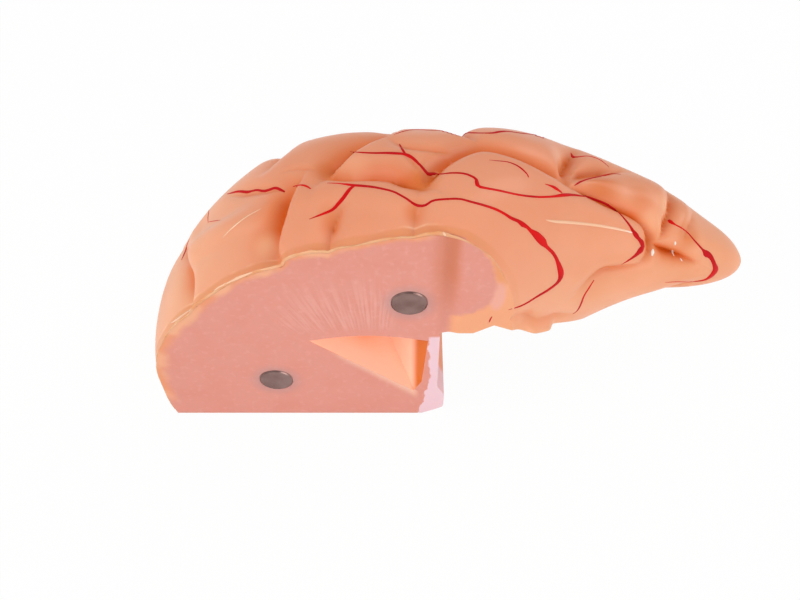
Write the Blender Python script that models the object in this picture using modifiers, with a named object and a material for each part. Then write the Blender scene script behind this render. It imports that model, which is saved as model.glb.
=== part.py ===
"""Left temporal and occipital lobe of a dissectible life-size brain model.

One soft vinyl casting lies on its flat midline face. Its second flat face, the cut face, meets
the next lobe of the model, and two disc magnets let into it hold the lobes together.
Metres, +X towards the temporal pole, +Y towards the base of the brain, +Z outwards (lateral).
The origin lies on the midline face, 20 mm behind the cut face.
"""

import math

import bmesh
import bpy
import numpy as np

# Driving dimensions of the casting
LOBE_LENGTH = 0.145
LOBE_DEPTH = 0.050
LOBE_THICKNESS = 0.071
LEFT_END_X = -0.0293
CUT_FACE_Y = -0.020

# Folds of the cortex
FOLD_DEPTH = 0.0050
FOLD_WIDTH = 0.0060
FOLD_FADE = 0.0060
FOLD_CROWN = 0.0005
FOLD_END_SHARE = 0.35
FOLD_SMOOTHING = 1

# Disc magnets, and where their centres lie on the cut face
MAGNET_DIAMETER = 0.008
MAGNET_THICKNESS = 0.003
MAGNET_CHAMFER = 0.0003
MAGNET_PROUD = 0.0002
MAGNET_CLEARANCE = 0.0003
UPPER_MAGNET_X = 0.0320
UPPER_MAGNET_Z = 0.0455
LOWER_MAGNET_X = 0.0000
LOWER_MAGNET_Z = 0.0152

# The ventricle pocket in the cut face, and the thin wall that closes it towards the notch
POCKET_LEFT_X = 0.0090
POCKET_WIDTH = 0.0275
POCKET_TOP_Z = 0.0335
POCKET_ARCH = 0.0020
POCKET_FOOT_Z = 0.0105
POCKET_FOOT_INSET = 0.0030
POCKET_BEND_INSET = 0.0012
POCKET_BEND_RISE = 0.0040
POCKET_DEPTH = 0.0190
POCKET_TAPER = 0.62
POCKET_WALL = 0.0026

# The notch that takes the brain stem, beyond the thin wall
NOTCH_HEIGHT = 0.0345
NOTCH_WIDTH = 0.0075
NOTCH_LIFT = 0.0030
NOTCH_LIFT_RUN = 0.0045
NOTCH_BACK_HEIGHT = 0.0130
NOTCH_FALL = 0.45
NOTCH_FOOT_RADIUS = 0.0045
NOTCH_FLARE = 0.0018
NOTCH_FLARE_TOP_Z = 0.0125
NOTCH_FLARE_FOOT_Z = 0.0085
NOTCH_OVERRUN = 0.0050

# The shallow groove that crosses the cut face beside the upper magnet
GROOVE_X = 0.0410
GROOVE_RADIUS = 0.0018
GROOVE_DEPTH = 0.0006

# How finely the lobe is faceted
STATIONS = 220
SPOKES = 150
FACETS_KEPT = 0.194
COURSE_STEPS = 14
ARCH_STEPS = 8
FILLET_STEPS = 4
ROD_SEGMENTS = 24
DISC_SEGMENTS = 48
FOLD_SHARP_ANGLE = 50
DISC_SHARP_ANGLE = 30

# Lengths of the cutters past what they cut
OVERRUN = 0.020

# Finishes: colour, roughness and metallic
CORTEX = ((0.860, 0.430, 0.235), 0.38, 0.0)
CUT_PINK = ((0.790, 0.400, 0.330), 0.45, 0.0)
VENTRICLE = ((0.900, 0.380, 0.130), 0.35, 0.0)
NICKEL = ((0.520, 0.480, 0.460), 0.28, 1.0)

# Sections of the lobe from the occipital end to the temporal pole: the share of its length,
# then the middle's place and the radii to the front, back, top and bottom. The middle's depth
# and the front and back radii are shares of LOBE_DEPTH, the other three of LOBE_THICKNESS.
SECTIONS = (
    # share  mid_y  mid_z  front  back   top    bottom
    (0.00, 0.25, 0.22, 0.72, 0.62, 0.40, 0.82),
    (0.11, 0.34, 0.33, 0.70, 0.58, 0.45, 0.70),
    (0.22, 0.34, 0.42, 0.67, 0.65, 0.475, 0.58),
    (0.35, 0.31, 0.46, 0.65, 0.70, 0.49, 0.58),
    (0.47, 0.28, 0.51, 0.58, 0.66, 0.48, 0.53),
    (0.58, 0.38, 0.51, 0.38, 0.605, 0.43, 0.42),
    (0.70, 0.52, 0.49, 0.31, 0.475, 0.30, 0.32),
    (0.82, 0.54, 0.49, 0.23, 0.325, 0.195, 0.19),
    (0.93, 0.53, 0.42, 0.15, 0.27, 0.14, 0.12),
    (1.00, 0.58, 0.36, 0.16, 0.26, 0.13, 0.12),
)
SECTION_SQUARENESS = 2.2
OCCIPITAL_ROUNDING = (0.42, 2.7)
TEMPORAL_ROUNDING = (0.82, 1.9)

# Sulci, as drawn on the lobe: its name, then its depth as a multiple of FOLD_DEPTH, then the
# widths of its left and right banks as multiples of FOLD_WIDTH, then its course. A course is a
# list of places (per cent of the length, degrees around it: 0 base, 90 lateral, 180 cut side).
SULCI = {
    "calcarine bank": (
        1.15, 0.6, 2.3,
        ((26, 85), (24.9, 88), (23.9, 94), (23.1, 101), (22.5, 108), (22.5, 114), (24, 121)),
    ),
    "first cleft": (0.70, 0.8, 0.8, ((33, 98), (31.5, 106), (30.9, 112), (30.7, 118))),
    "second cleft": (0.65, 0.9, 0.8, ((43, 100), (42.9, 108), (42.8, 114))),
    "row furrow": (
        1.20, 1.5, 0.7,
        ((29, 86), (31, 86), (34, 86.5), (37, 87), (39.5, 88), (42, 91), (44.4, 94)),
    ),
    "row furrow end": (0.5, 1.0, 0.8, ((14, 72), (17.4, 80), (22.2, 87), (26, 88))),
    "angular bank": (
        1.2, 2.0, 0.7,
        ((29.6, 87), (30.4, 82), (31.4, 78), (32.9, 72), (35.1, 66), (38.2, 58), (39.5, 44)),
    ),
    "shoulder step": (0.4, 0.8, 0.6, ((22.9, 79), (24.5, 79), (26.4, 80), (28.4, 82), (29.4, 86))),
    "mid bank": (
        1.15, 1.5, 0.75,
        (
            (44.2, 94), (44.8, 90), (45.4, 87.5), (46.8, 83), (49.6, 77), (52.9, 74), (57.5, 78),
            (62.4, 84), (65.3, 88), (67.6, 94),
        ),
    ),
    "upper bank": (0.5, 1.1, 0.8, ((39.5, 66), (41.4, 71), (45.4, 74), (49.8, 74), (53, 73))),
    "artery furrow": (0.5, 0.9, 0.9, ((41.4, 76), (43.2, 84), (44.4, 90))),
    "far cleft": (1.1, 1.2, 0.9, ((67.5, 94), (66.9, 85), (67.9, 74), (69.2, 58))),
    "hook furrow": (0.8, 0.9, 1.0, ((67.5, 90), (69.6, 82), (72.4, 75), (74.8, 68), (77, 60))),
    "pole furrow": (
        1.0, 1.1, 0.9,
        (
            (67.5, 94), (70.9, 96), (73.2, 100), (75.6, 104), (77.9, 108), (79.9, 115),
            (80.8, 126), (81, 138), (80.8, 150), (79.6, 161),
        ),
    ),
    "pole pit": (1.1, 1.1, 1.3, ((81, 136), (83.8, 146), (86.9, 151), (89.6, 156))),
    "hook bank": (
        0.85, 0.9, 0.8,
        ((85.3, 56), (85.6, 67), (84.9, 87), (83.8, 110), (83.1, 126), (82, 138)),
    ),
    "pole crease": (0.35, 0.7, 0.7, ((89.5, 72), (88.4, 90), (87.5, 106), (86.6, 126))),
    "lower furrow": (0.5, 1.4, 0.8, ((80.6, 158), (78, 164), (75, 164), (73.1, 164), (69.5, 174))),
    "sylvian lip": (0.4, 0.7, 0.7, ((57.4, 174), (60, 177), (62.2, 182), (65.5, 188), (69, 195))),
    "end furrow": (0.75, 0.8, 1.4, ((5, 62), (6, 79), (7.5, 98), (8.4, 110), (8.8, 122))),
    "base furrow": (1.0, 1.5, 1.5, ((6, 10), (20, -14), (38, -20), (55, -24), (72, -14), (88, -4))),
    "side furrow": (0.9, 1.4, 1.4, ((8, 40), (20, 24), (34, 28), (50, 20), (66, 26), (82, 18))),
    "base cleft one": (0.6, 1.1, 1.1, ((33, 27), (36, 8), (34, -18))),
    "base cleft two": (0.6, 1.1, 1.1, ((58, 22), (55, 0), (57, -22))),
    "side cleft one": (0.7, 1.1, 1.1, ((20, 70), (22, 50), (20, 26))),
    "side cleft two": (0.7, 1.1, 1.1, ((53, 70), (50, 48), (53, 22))),
    "uncus furrow": (0.6, 1.1, 1.1, ((62, 250), (74, 240), (84, 225), (90, 200))),
}

# Swells and hollows: the height as a multiple of FOLD_DEPTH, the half width as a multiple of
# FOLD_WIDTH, and the course.
SWELLS = {
    "fan ridge": (0.22, 0.9, ((8, 92), (13.8, 94), (21, 94))),
    "fan hollow": (-0.20, 1.0, ((9, 74), (12.7, 83), (18.7, 91))),
    "row crest": (0.10, 0.8, ((26, 94), (34, 95), (42, 99))),
    "lip bump": (0.52, 0.8, ((61.5, 186), (62.6, 189), (63.5, 192))),
    "pole pillow": (0.20, 1.3, ((82, 78), (86.6, 80))),
}


def clear_scene():
    for old in list(bpy.data.objects):
        bpy.data.objects.remove(old, do_unlink=True)
    for old in list(bpy.data.collections):
        bpy.data.collections.remove(old)


def new_collection(name):
    collection = bpy.data.collections.new(name)
    bpy.context.scene.collection.children.link(collection)
    return collection


def new_material(name, finish):
    colour, roughness, metallic = finish
    material = bpy.data.materials.new(name)
    material.use_nodes = True
    shader = material.node_tree.nodes["Principled BSDF"]
    shader.inputs["Base Color"].default_value = (*colour, 1.0)
    shader.inputs["Roughness"].default_value = roughness
    shader.inputs["Metallic"].default_value = metallic
    material.diffuse_color = (*colour, 1.0)
    return material


def new_object(name, mesh, material, collection):
    item = bpy.data.objects.new(name, mesh)
    mesh.materials.append(material)
    collection.objects.link(item)
    return item


def mesh_from(name, shape):
    """Turns a bmesh into a mesh with its faces outwards, and frees it."""
    shape.normal_update()
    bmesh.ops.recalc_face_normals(shape, faces=shape.faces)
    mesh = bpy.data.meshes.new(name)
    shape.to_mesh(mesh)
    shape.free()
    return mesh


def smooth_course(knots, values, at):
    """A smooth curve through values at the knots, one column for each kind of value."""
    knots = np.asarray(knots, float)
    values = np.asarray(values, float)
    slopes = np.gradient(values, knots, axis=0)
    place = np.clip(np.searchsorted(knots, at, side="right") - 1, 0, len(knots) - 2)
    span = (knots[place + 1] - knots[place])[:, None]
    t = (at[:, None] - knots[place][:, None]) / span
    start = (1 + 2 * t) * (1 - t) ** 2 * values[place] + t * (1 - t) ** 2 * span * slopes[place]
    end = t**2 * (3 - 2 * t) * values[place + 1] + t**2 * (t - 1) * span * slopes[place + 1]
    return start + end


def end_rounding(share):
    """How far a section has shrunk towards the lobe's two rounded ends."""
    start, power = OCCIPITAL_ROUNDING
    left = np.clip((start - share) / start, 0.0, 1.0)
    factor = (1.0 - left**power) ** (1.0 / power)
    start, power = TEMPORAL_ROUNDING
    right = np.clip((share - start) / (1.0 - start), 0.0, 1.0)
    return factor * (1.0 - right**power) ** (1.0 / power)


def on_lobe(share, around):
    """Points of the smooth lobe, before its folds, at shares of its length and angles around."""
    table = np.asarray(SECTIONS)
    mid_y, mid_z, front, back, top, bottom = smooth_course(table[:, 0], table[:, 1:], share).T
    cosine = np.cos(around)
    sine = np.sin(around)
    power = 2.0 / SECTION_SQUARENESS
    out_y = np.sign(cosine) * np.abs(cosine) ** power
    out_z = np.sign(sine) * np.abs(sine) ** power
    shrink = end_rounding(share)
    y = mid_y + np.where(out_y < 0, front, back) * out_y * shrink
    z = mid_z + np.where(out_z > 0, top, bottom) * out_z * shrink
    x = LEFT_END_X + LOBE_LENGTH * share
    return np.stack([x, CUT_FACE_Y + LOBE_DEPTH * y, LOBE_THICKNESS * z], axis=1)


def course_on_lobe(places):
    """Points along a sulcus, at even steps between the places of its course."""
    knots = np.arange(len(places), dtype=float)
    at = np.linspace(0.0, knots[-1], COURSE_STEPS * (len(places) - 1) + 1)
    share, degrees = smooth_course(knots, places, at).T
    return on_lobe(np.clip(share / 100.0, 0.0, 1.0), np.radians(degrees))


def fold_relief(points, normals, sulcus):
    """How far one sulcus sinks each point: round banks that meet in a sharp fold."""
    depth, left_width, right_width, places = sulcus
    course = course_on_lobe(places)
    along = np.gradient(course, axis=0)
    offset = points[:, None, :] - course[None, :, :]
    distance = np.linalg.norm(offset, axis=2)
    nearest = distance.argmin(axis=1)
    row = np.arange(len(points))
    nearest_distance = distance[row, nearest]
    right_hand = np.cross(along[nearest], normals)
    on_right = np.einsum("ij,ij->i", right_hand, offset[row, nearest]) > 0
    width = FOLD_WIDTH * np.where(on_right, right_width, left_width)
    rise = np.clip(nearest_distance / width, 0.0, 1.0)
    bank = 1.0 - np.sqrt(1.0 - (1.0 - rise) ** 2)
    travelled = np.concatenate([[0.0], np.cumsum(np.linalg.norm(np.diff(course, axis=0), axis=1))])
    from_end = np.minimum(travelled, travelled[-1] - travelled)[nearest]
    fade = FOLD_END_SHARE + (1.0 - FOLD_END_SHARE) * np.clip(from_end / FOLD_FADE, 0.0, 1.0)
    return FOLD_DEPTH * depth * bank * fade


def swell_relief(points, swell):
    """How far one swell lifts each point, or a hollow lowers it."""
    height, spread, places = swell
    half_width = FOLD_WIDTH * spread
    offset = points[:, None, :] - course_on_lobe(places)[None, :, :]
    distance = np.linalg.norm(offset, axis=2).min(axis=1)
    return FOLD_DEPTH * height * np.clip(1.0 - (distance / half_width) ** 2, 0.0, 1.0) ** 2


def folded_lobe():
    """A sphere laid along X, drawn out to the lobe's sections and then folded."""
    lobe = bmesh.new()
    bmesh.ops.create_uvsphere(lobe, u_segments=SPOKES, v_segments=STATIONS, radius=1.0)
    unit = np.array([vertex.co[:] for vertex in lobe.verts])
    share = (1.0 - np.clip(unit[:, 2], -1.0, 1.0)) / 2.0
    around = np.arctan2(unit[:, 1], unit[:, 0])
    for vertex, place in zip(lobe.verts, on_lobe(share, around)):
        vertex.co = place
    lobe.normal_update()
    bmesh.ops.recalc_face_normals(lobe, faces=lobe.faces)
    lobe.normal_update()
    points = np.array([vertex.co[:] for vertex in lobe.verts])
    normals = np.array([vertex.normal[:] for vertex in lobe.verts])
    sunk = np.zeros(len(points))
    for sulcus in SULCI.values():
        sunk = np.maximum(sunk, fold_relief(points, normals, sulcus))
    lifted = FOLD_CROWN - sunk
    for swell in SWELLS.values():
        lifted += swell_relief(points, swell)
    for vertex, place in zip(lobe.verts, points + normals * lifted[:, None]):
        vertex.co = place
    for _ in range(FOLD_SMOOTHING):
        bmesh.ops.smooth_vert(
            lobe, verts=lobe.verts, factor=0.5, use_axis_x=True, use_axis_y=True, use_axis_z=True
        )
    return mesh_from("brain_casting", lobe)


def block(name, low, high):
    shape = bmesh.new()
    bmesh.ops.create_cube(shape, size=1.0)
    for vertex in shape.verts:
        for axis in range(3):
            vertex.co[axis] = low[axis] if vertex.co[axis] < 0 else high[axis]
    return mesh_from(name, shape)


def prism(name, outline, front_y, back_y):
    """An outline in X and Z, filled and drawn back along Y."""
    shape = bmesh.new()
    rim = [shape.verts.new((x, front_y, z)) for x, z in outline]
    face = shape.faces.new(rim)
    drawn = bmesh.ops.extrude_face_region(shape, geom=[face])
    for part in drawn["geom"]:
        if isinstance(part, bmesh.types.BMVert):
            part.co.y = back_y
    return mesh_from(name, shape)


def pocket_outline():
    """Triangular mouth of the ventricle: an arched top, a steep right side, a sloping floor."""
    right = POCKET_LEFT_X + POCKET_WIDTH
    outline = []
    for step in range(ARCH_STEPS + 1):
        share = step / ARCH_STEPS
        lift = POCKET_ARCH * math.sin(math.pi * share)
        outline.append((POCKET_LEFT_X + POCKET_WIDTH * share, POCKET_TOP_Z - POCKET_ARCH + lift))
    outline.append((right - POCKET_BEND_INSET, POCKET_FOOT_Z + POCKET_BEND_RISE))
    outline.append((right - POCKET_FOOT_INSET, POCKET_FOOT_Z))
    return outline


def pocket_cutter():
    """The mouth drawn back into the casting, narrowing evenly towards its blind end."""
    front = CUT_FACE_Y - OVERRUN
    back = CUT_FACE_Y + POCKET_DEPTH
    mesh = prism("pocket_cutter", pocket_outline(), front, back)
    pivot_x = POCKET_LEFT_X
    pivot_z = POCKET_TOP_Z
    for vertex in mesh.vertices:
        inward = (vertex.co.y - CUT_FACE_Y) / POCKET_DEPTH
        scale = 1.0 - (1.0 - POCKET_TAPER) * inward
        vertex.co.x = pivot_x + (vertex.co.x - pivot_x) * scale
        vertex.co.z = pivot_z + (vertex.co.z - pivot_z) * scale
    return mesh


def notch_cutter():
    """Clears everything beyond the thin wall, up to a roof that falls towards the base."""
    wall = POCKET_LEFT_X + POCKET_WIDTH + POCKET_WALL
    foot = wall + NOTCH_FLARE
    corner = wall + NOTCH_WIDTH
    lifted = corner + NOTCH_LIFT_RUN
    far = LEFT_END_X + LOBE_LENGTH + OVERRUN
    radius = NOTCH_FOOT_RADIUS
    bottom = -LOBE_THICKNESS
    outline = [(far, bottom), (foot - radius, bottom)]
    for step in range(FILLET_STEPS + 1):
        angle = math.radians(90.0 * step / FILLET_STEPS)
        outline.append((foot - radius + radius * math.sin(angle), radius - radius * math.cos(angle)))
    outline += [(foot, NOTCH_FLARE_FOOT_Z), (wall, NOTCH_FLARE_TOP_Z)]
    roof_start = len(outline)
    crest = NOTCH_HEIGHT + NOTCH_LIFT
    outline += [(wall, NOTCH_HEIGHT), (corner, NOTCH_HEIGHT), (lifted, crest)]
    outline.append((far, crest - NOTCH_FALL * (far - lifted)))
    back = CUT_FACE_Y + LOBE_DEPTH + NOTCH_OVERRUN
    mesh = prism("notch_cutter", outline, CUT_FACE_Y - OVERRUN, back)
    slope = (NOTCH_HEIGHT - NOTCH_BACK_HEIGHT) / (back - CUT_FACE_Y)
    for number, vertex in enumerate(mesh.vertices):
        if number % len(outline) >= roof_start:
            vertex.co.z -= slope * (vertex.co.y - CUT_FACE_Y)
    return mesh


def groove_cutter():
    """A round rod that dips into the cut face, from the notch's roof up to its edge."""
    shape = bmesh.new()
    low = NOTCH_HEIGHT - OVERRUN
    high = LOBE_THICKNESS + OVERRUN
    bmesh.ops.create_cone(
        shape,
        cap_ends=True,
        segments=ROD_SEGMENTS,
        radius1=GROOVE_RADIUS,
        radius2=GROOVE_RADIUS,
        depth=high - low,
    )
    for vertex in shape.verts:
        vertex.co.x += GROOVE_X
        vertex.co.y += CUT_FACE_Y - GROOVE_RADIUS + GROOVE_DEPTH
        vertex.co.z += 0.5 * (low + high)
    return mesh_from("groove_cutter", shape)


def disc(name, radius, front_y, back_y, x, z):
    shape = bmesh.new()
    bmesh.ops.create_cone(
        shape,
        cap_ends=True,
        segments=DISC_SEGMENTS,
        radius1=radius,
        radius2=radius,
        depth=back_y - front_y,
    )
    for vertex in shape.verts:
        across, up, height = vertex.co
        vertex.co = (x + across, 0.5 * (front_y + back_y) + height, z + up)
    return mesh_from(name, shape)


def recess_cutter(name, x, z):
    radius = MAGNET_DIAMETER / 2 + MAGNET_CLEARANCE
    back = CUT_FACE_Y - MAGNET_PROUD + MAGNET_THICKNESS + MAGNET_CLEARANCE
    return disc(name, radius, CUT_FACE_Y - OVERRUN, back, x, z)


def magnet(name, x, z, material, collection):
    """A nickel-plated disc with a small chamfer round its outer face."""
    front = CUT_FACE_Y - MAGNET_PROUD
    mesh = disc(name, MAGNET_DIAMETER / 2, front, front + MAGNET_THICKNESS, x, z)
    item = new_object(name, mesh, material, collection)
    bevel = item.modifiers.new("chamfer", "BEVEL")
    bevel.width = MAGNET_CHAMFER
    bevel.segments = 1
    bevel.limit_method = "ANGLE"
    mesh.shade_smooth()
    mesh.set_sharp_from_angle(angle=math.radians(DISC_SHARP_ANGLE))
    return item


def cut(target, mesh, material, collection):
    """Takes a cutter's shape out of the casting, and leaves its colour on the new faces."""
    cutter = new_object(mesh.name, mesh, material, collection)
    cutter.hide_render = True
    cutter.display_type = "WIRE"
    boolean = target.modifiers.new(mesh.name, "BOOLEAN")
    boolean.operation = "DIFFERENCE"
    boolean.solver = "EXACT"
    boolean.material_mode = "TRANSFER"
    boolean.object = cutter


def build():
    clear_scene()
    model = new_collection("brain_lobe_model")
    cutters = new_collection("cutters")
    cortex = new_material("cortex_vinyl", CORTEX)
    pink = new_material("cut_face_vinyl", CUT_PINK)
    ventricle = new_material("ventricle_vinyl", VENTRICLE)
    nickel = new_material("nickel_plate", NICKEL)

    casting = new_object("brain_casting", folded_lobe(), cortex, model)
    facets = casting.modifiers.new("facets", "DECIMATE")
    facets.ratio = FACETS_KEPT
    left = LEFT_END_X - OVERRUN
    right = LEFT_END_X + LOBE_LENGTH + OVERRUN
    front = CUT_FACE_Y - LOBE_DEPTH
    back = CUT_FACE_Y + LOBE_DEPTH + OVERRUN
    top = LOBE_THICKNESS + OVERRUN
    bottom = -LOBE_THICKNESS
    cut_block = block("cut_face_cutter", (left, front, bottom), (right, CUT_FACE_Y, top))
    midline_block = block("midline_cutter", (left, front - OVERRUN, bottom), (right, back, 0.0))
    cut(casting, cut_block, pink, cutters)
    cut(casting, midline_block, pink, cutters)
    cut(casting, notch_cutter(), cortex, cutters)
    cut(casting, pocket_cutter(), ventricle, cutters)
    cut(casting, groove_cutter(), pink, cutters)

    places = {
        "magnet_upper": (UPPER_MAGNET_X, UPPER_MAGNET_Z),
        "magnet_lower": (LOWER_MAGNET_X, LOWER_MAGNET_Z),
    }
    for name, (x, z) in places.items():
        cut(casting, recess_cutter(name + "_recess", x, z), pink, cutters)
        magnet(name, x, z, nickel, model)
    casting.data.shade_smooth()
    casting.data.set_sharp_from_angle(angle=math.radians(FOLD_SHARP_ANGLE))


build()
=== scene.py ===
# %% [markdown]
# # One lobe of a take-apart brain model
# The object is the left temporal and occipital lobe of a life-size teaching model: one soft
# vinyl casting that lies on its flat midline face, with a flat painted cut face towards us and
# two disc magnets let into that face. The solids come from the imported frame. This script makes
# the fine surface around them: the puffed folds, the painted arteries, the flash along the seam
# and the finish of each material. Every length is in metres.

# %% Load the frame
import math
from types import SimpleNamespace

import bmesh
import bpy
import numpy as np
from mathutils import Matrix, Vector, noise
from mathutils.bvhtree import BVHTree
from mathutils.kdtree import KDTree


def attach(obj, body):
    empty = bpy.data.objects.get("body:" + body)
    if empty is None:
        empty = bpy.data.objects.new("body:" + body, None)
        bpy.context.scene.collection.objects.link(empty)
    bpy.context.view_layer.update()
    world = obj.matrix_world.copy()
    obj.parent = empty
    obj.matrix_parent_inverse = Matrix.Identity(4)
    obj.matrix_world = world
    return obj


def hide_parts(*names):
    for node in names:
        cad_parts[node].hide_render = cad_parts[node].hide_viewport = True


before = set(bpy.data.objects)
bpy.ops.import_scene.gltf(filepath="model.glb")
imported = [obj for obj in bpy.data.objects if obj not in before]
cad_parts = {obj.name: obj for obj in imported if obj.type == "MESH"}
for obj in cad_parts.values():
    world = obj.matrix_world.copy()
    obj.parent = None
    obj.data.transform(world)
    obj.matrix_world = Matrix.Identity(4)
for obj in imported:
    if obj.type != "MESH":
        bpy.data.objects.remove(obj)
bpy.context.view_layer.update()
MM = 0.001
print("nodes in the frame:", sorted(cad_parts))

# %% [markdown]
# ## The camera
# A photograph is matched before anything is modelled. The bottom edge of the cut face gives the
# floor, the ellipses of the two round magnets give the tilt, and their size gives the distance.
# The camera looks straight at the cut face from above, 52 degrees below the horizon, so only one
# angle is turned.

# %% The photograph's camera
PHOTO_SIZE = (800, 600)
FOCAL_PIXELS = 950.0
SENSOR_WIDTH = 36.0
LOOK_DOWN = math.radians(52.0)
CAMERA_PLACE = Vector((0.030, -0.1466, 0.2088))

camera_data = bpy.data.cameras.new("photo_camera")
camera_data.sensor_width = SENSOR_WIDTH
camera_data.lens = FOCAL_PIXELS / PHOTO_SIZE[0] * SENSOR_WIDTH
camera_data.clip_start = 0.01
camera = bpy.data.objects.new("photo_camera", camera_data)
camera.location = CAMERA_PLACE
camera.rotation_euler = (math.radians(90.0) - LOOK_DOWN, 0.0, 0.0)
bpy.context.scene.collection.objects.link(camera)
bpy.context.scene.camera = camera

FORWARD = Vector((0.0, math.cos(LOOK_DOWN), -math.sin(LOOK_DOWN)))
UPWARD = Vector((0.0, math.sin(LOOK_DOWN), math.cos(LOOK_DOWN)))


def photo_ray(px, py):
    """The direction in which the camera sees a pixel of the photograph."""
    across = (px - PHOTO_SIZE[0] / 2) / FOCAL_PIXELS
    up = (PHOTO_SIZE[1] / 2 - py) / FOCAL_PIXELS
    return (FORWARD + across * Vector((1.0, 0.0, 0.0)) + up * UPWARD).normalized()


print("lens:", round(camera_data.lens, 2), "mm")

# %% [markdown]
# ## Colours by number
# Paint is easiest to name by what an eye drops from a screen, which is sRGB from 0 to 255.
# Shaders want linear light, so one short function turns the first into the second.

# %% Colours


def paint(red, green, blue):
    """An sRGB colour, 0 to 255, as the linear colour that a shader reads."""
    linear = []
    for value in (red, green, blue):
        share = value / 255.0
        linear.append(share / 12.92 if share <= 0.04045 else ((share + 0.055) / 1.055) ** 2.4)
    return (*linear, 1.0)


CORTEX_CROWN = paint(247, 174, 134)
CORTEX_SIDE = paint(240, 162, 119)
CORTEX_TOP_SHADE = paint(238, 152, 116)
CORTEX_LEFT_LIGHT = paint(254, 188, 150)
CREASE_SHADE_AND_OCHRE = paint(230, 112, 30)
CORTEX_PAINTED_SHADE = paint(222, 110, 28)
CORTEX_PAINTED_LIGHT = paint(255, 194, 152)
SEAM_PEACH = paint(244, 178, 138)
SEAM_OCHRE = paint(230, 148, 92)
SEAM_CREAM = paint(255, 206, 164)
CUT_PINK = paint(227, 152, 136)
CUT_PINK_DEEP = paint(224, 140, 120)
FIBRE_PALE = paint(240, 176, 164)
GROOVE_SHADE = paint(208, 118, 80)
MAGNET_HALO = paint(196, 148, 146)
SEAT_SHADOW = paint(96, 62, 56)
RIM_LILAC = paint(242, 206, 214)
POCKET_FLOOR_LIGHT = paint(252, 204, 178)
POCKET_WALL_SHADE = paint(222, 118, 46)
POCKET_ARCH_SHADE = paint(244, 150, 88)
FLASH_PALE = paint(242, 172, 126)
FLASH_ORANGE = paint(232, 150, 100)
ARTERY_RED = paint(198, 14, 24)
ARTERY_WET = paint(224, 4, 6)
HIGHLIGHT_PALE = paint(252, 196, 156)
GLINT_WHITE = paint(255, 244, 232)
NICKEL_AND_REFLECTION = paint(128, 98, 92)
NICKEL_PALE_AND_REFLECTION = paint(146, 118, 112)
UNLIT = paint(0, 0, 0)
FLOOR_WHITE = (0.9, 0.9, 0.9, 1.0)
print("colours mixed")

# %% [markdown]
# ## Shader maths as plain sums
# A mask such as "below the arch and left of the wall" is a sum in the head and a tangle of nodes
# on the screen. A small class wraps a node's output and gives it the signs of arithmetic, so a
# mask is written as one Python line and the Math nodes appear by themselves.

# %% A signal and a finish


class Signal:
    """One output socket that can be added, multiplied and compared."""

    def __init__(self, finish, socket):
        self.finish = finish
        self.socket = socket

    def sum_with(self, operation, first, second=None):
        links = {0: first} if second is None else {0: first, 1: second}
        return self.finish.node("ShaderNodeMath", {"operation": operation}, links)

    def __add__(self, other):
        return self.sum_with("ADD", self, other)

    def __sub__(self, other):
        return self.sum_with("SUBTRACT", self, other)

    def __rsub__(self, other):
        return self.sum_with("SUBTRACT", other, self)

    def __mul__(self, other):
        return self.sum_with("MULTIPLY", self, other)

    def __truediv__(self, other):
        return self.sum_with("DIVIDE", self, other)

    def __pow__(self, other):
        return self.sum_with("POWER", self, other)

    def __abs__(self):
        return self.sum_with("ABSOLUTE", self)

    def or_more(self, other):
        return self.sum_with("MAXIMUM", self, other)

    def rises(self, low, high):
        """0 below low, 1 above high, and a soft step between them."""
        settings = {"interpolation_type": "SMOOTHSTEP"}
        links = {"Value": self, "From Min": low, "From Max": high}
        return self.finish.node("ShaderNodeMapRange", settings, links)

    def falls(self, low, high):
        """1 below low and 0 above high."""
        return 1.0 - self.rises(low, high)

    def spans(self, low, full, fading, gone):
        """0 below low, 1 from full to fading, and 0 again above gone."""
        return self.rises(low, full) * self.falls(fading, gone)

    __radd__ = __add__
    __rmul__ = __mul__


class Finish:
    """A material in the making: its Principled shader and the nodes that feed it."""

    def __init__(self, name, **constants):
        self.material = bpy.data.materials.new(name)
        self.material.use_nodes = True
        self.tree = self.material.node_tree
        self.shader = self.tree.nodes["Principled BSDF"]
        self.drive(**constants)

    def node(self, kind, settings, links, output=0):
        """Adds any node, sets it, feeds its sockets and returns one of its outputs."""
        made = self.tree.nodes.new(kind)
        for key, value in settings.items():
            setattr(made, key, value)
        for key, value in links.items():
            self.feed(made.inputs[key], value)
        return Signal(self, made.outputs[output])

    def feed(self, socket, value):
        if isinstance(value, Signal):
            self.tree.links.new(value.socket, socket)
        else:
            socket.default_value = value

    def drive(self, **inputs):
        """Feeds inputs of the Principled shader, named with a low line for each space."""
        for name, value in inputs.items():
            self.feed(self.shader.inputs[name.replace("_", " ")], value)

    def place(self):
        """Object coordinates, split into X, Y and Z in metres."""
        where = self.node("ShaderNodeTexCoord", {}, {}, "Object")
        split = self.tree.nodes.new("ShaderNodeSeparateXYZ")
        self.tree.links.new(where.socket, split.inputs[0])
        return where, *(Signal(self, split.outputs[axis]) for axis in range(3))

    def noise(self, where, scale, detail=2.0):
        links = {"Vector": where, "Scale": scale, "Detail": detail}
        return self.node("ShaderNodeTexNoise", {}, links, "Fac")

    def mix(self, mask, below, above):
        """Colour below where the mask is 0, and above where it is 1."""
        settings = {"data_type": "RGBA"}
        return self.node("ShaderNodeMix", settings, {0: mask, 6: below, 7: above}, 2)

    def attribute(self, name):
        return self.node("ShaderNodeAttribute", {"attribute_name": name}, {}, "Fac")

    def bump(self, height, distance, strength=1.0):
        links = {"Height": height, "Distance": distance, "Strength": strength}
        return self.node("ShaderNodeBump", {}, links)


# %% [markdown]
# ## Room and light
# The photograph is a cut-out on white under broad soft light. A white world gives the even
# level, and three large lamps give the crowns their shape: one above the left shoulder, one low
# at the right front and one high behind the pole. The floor glows white to the camera alone, so
# the object isn't washed out from below.

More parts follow.
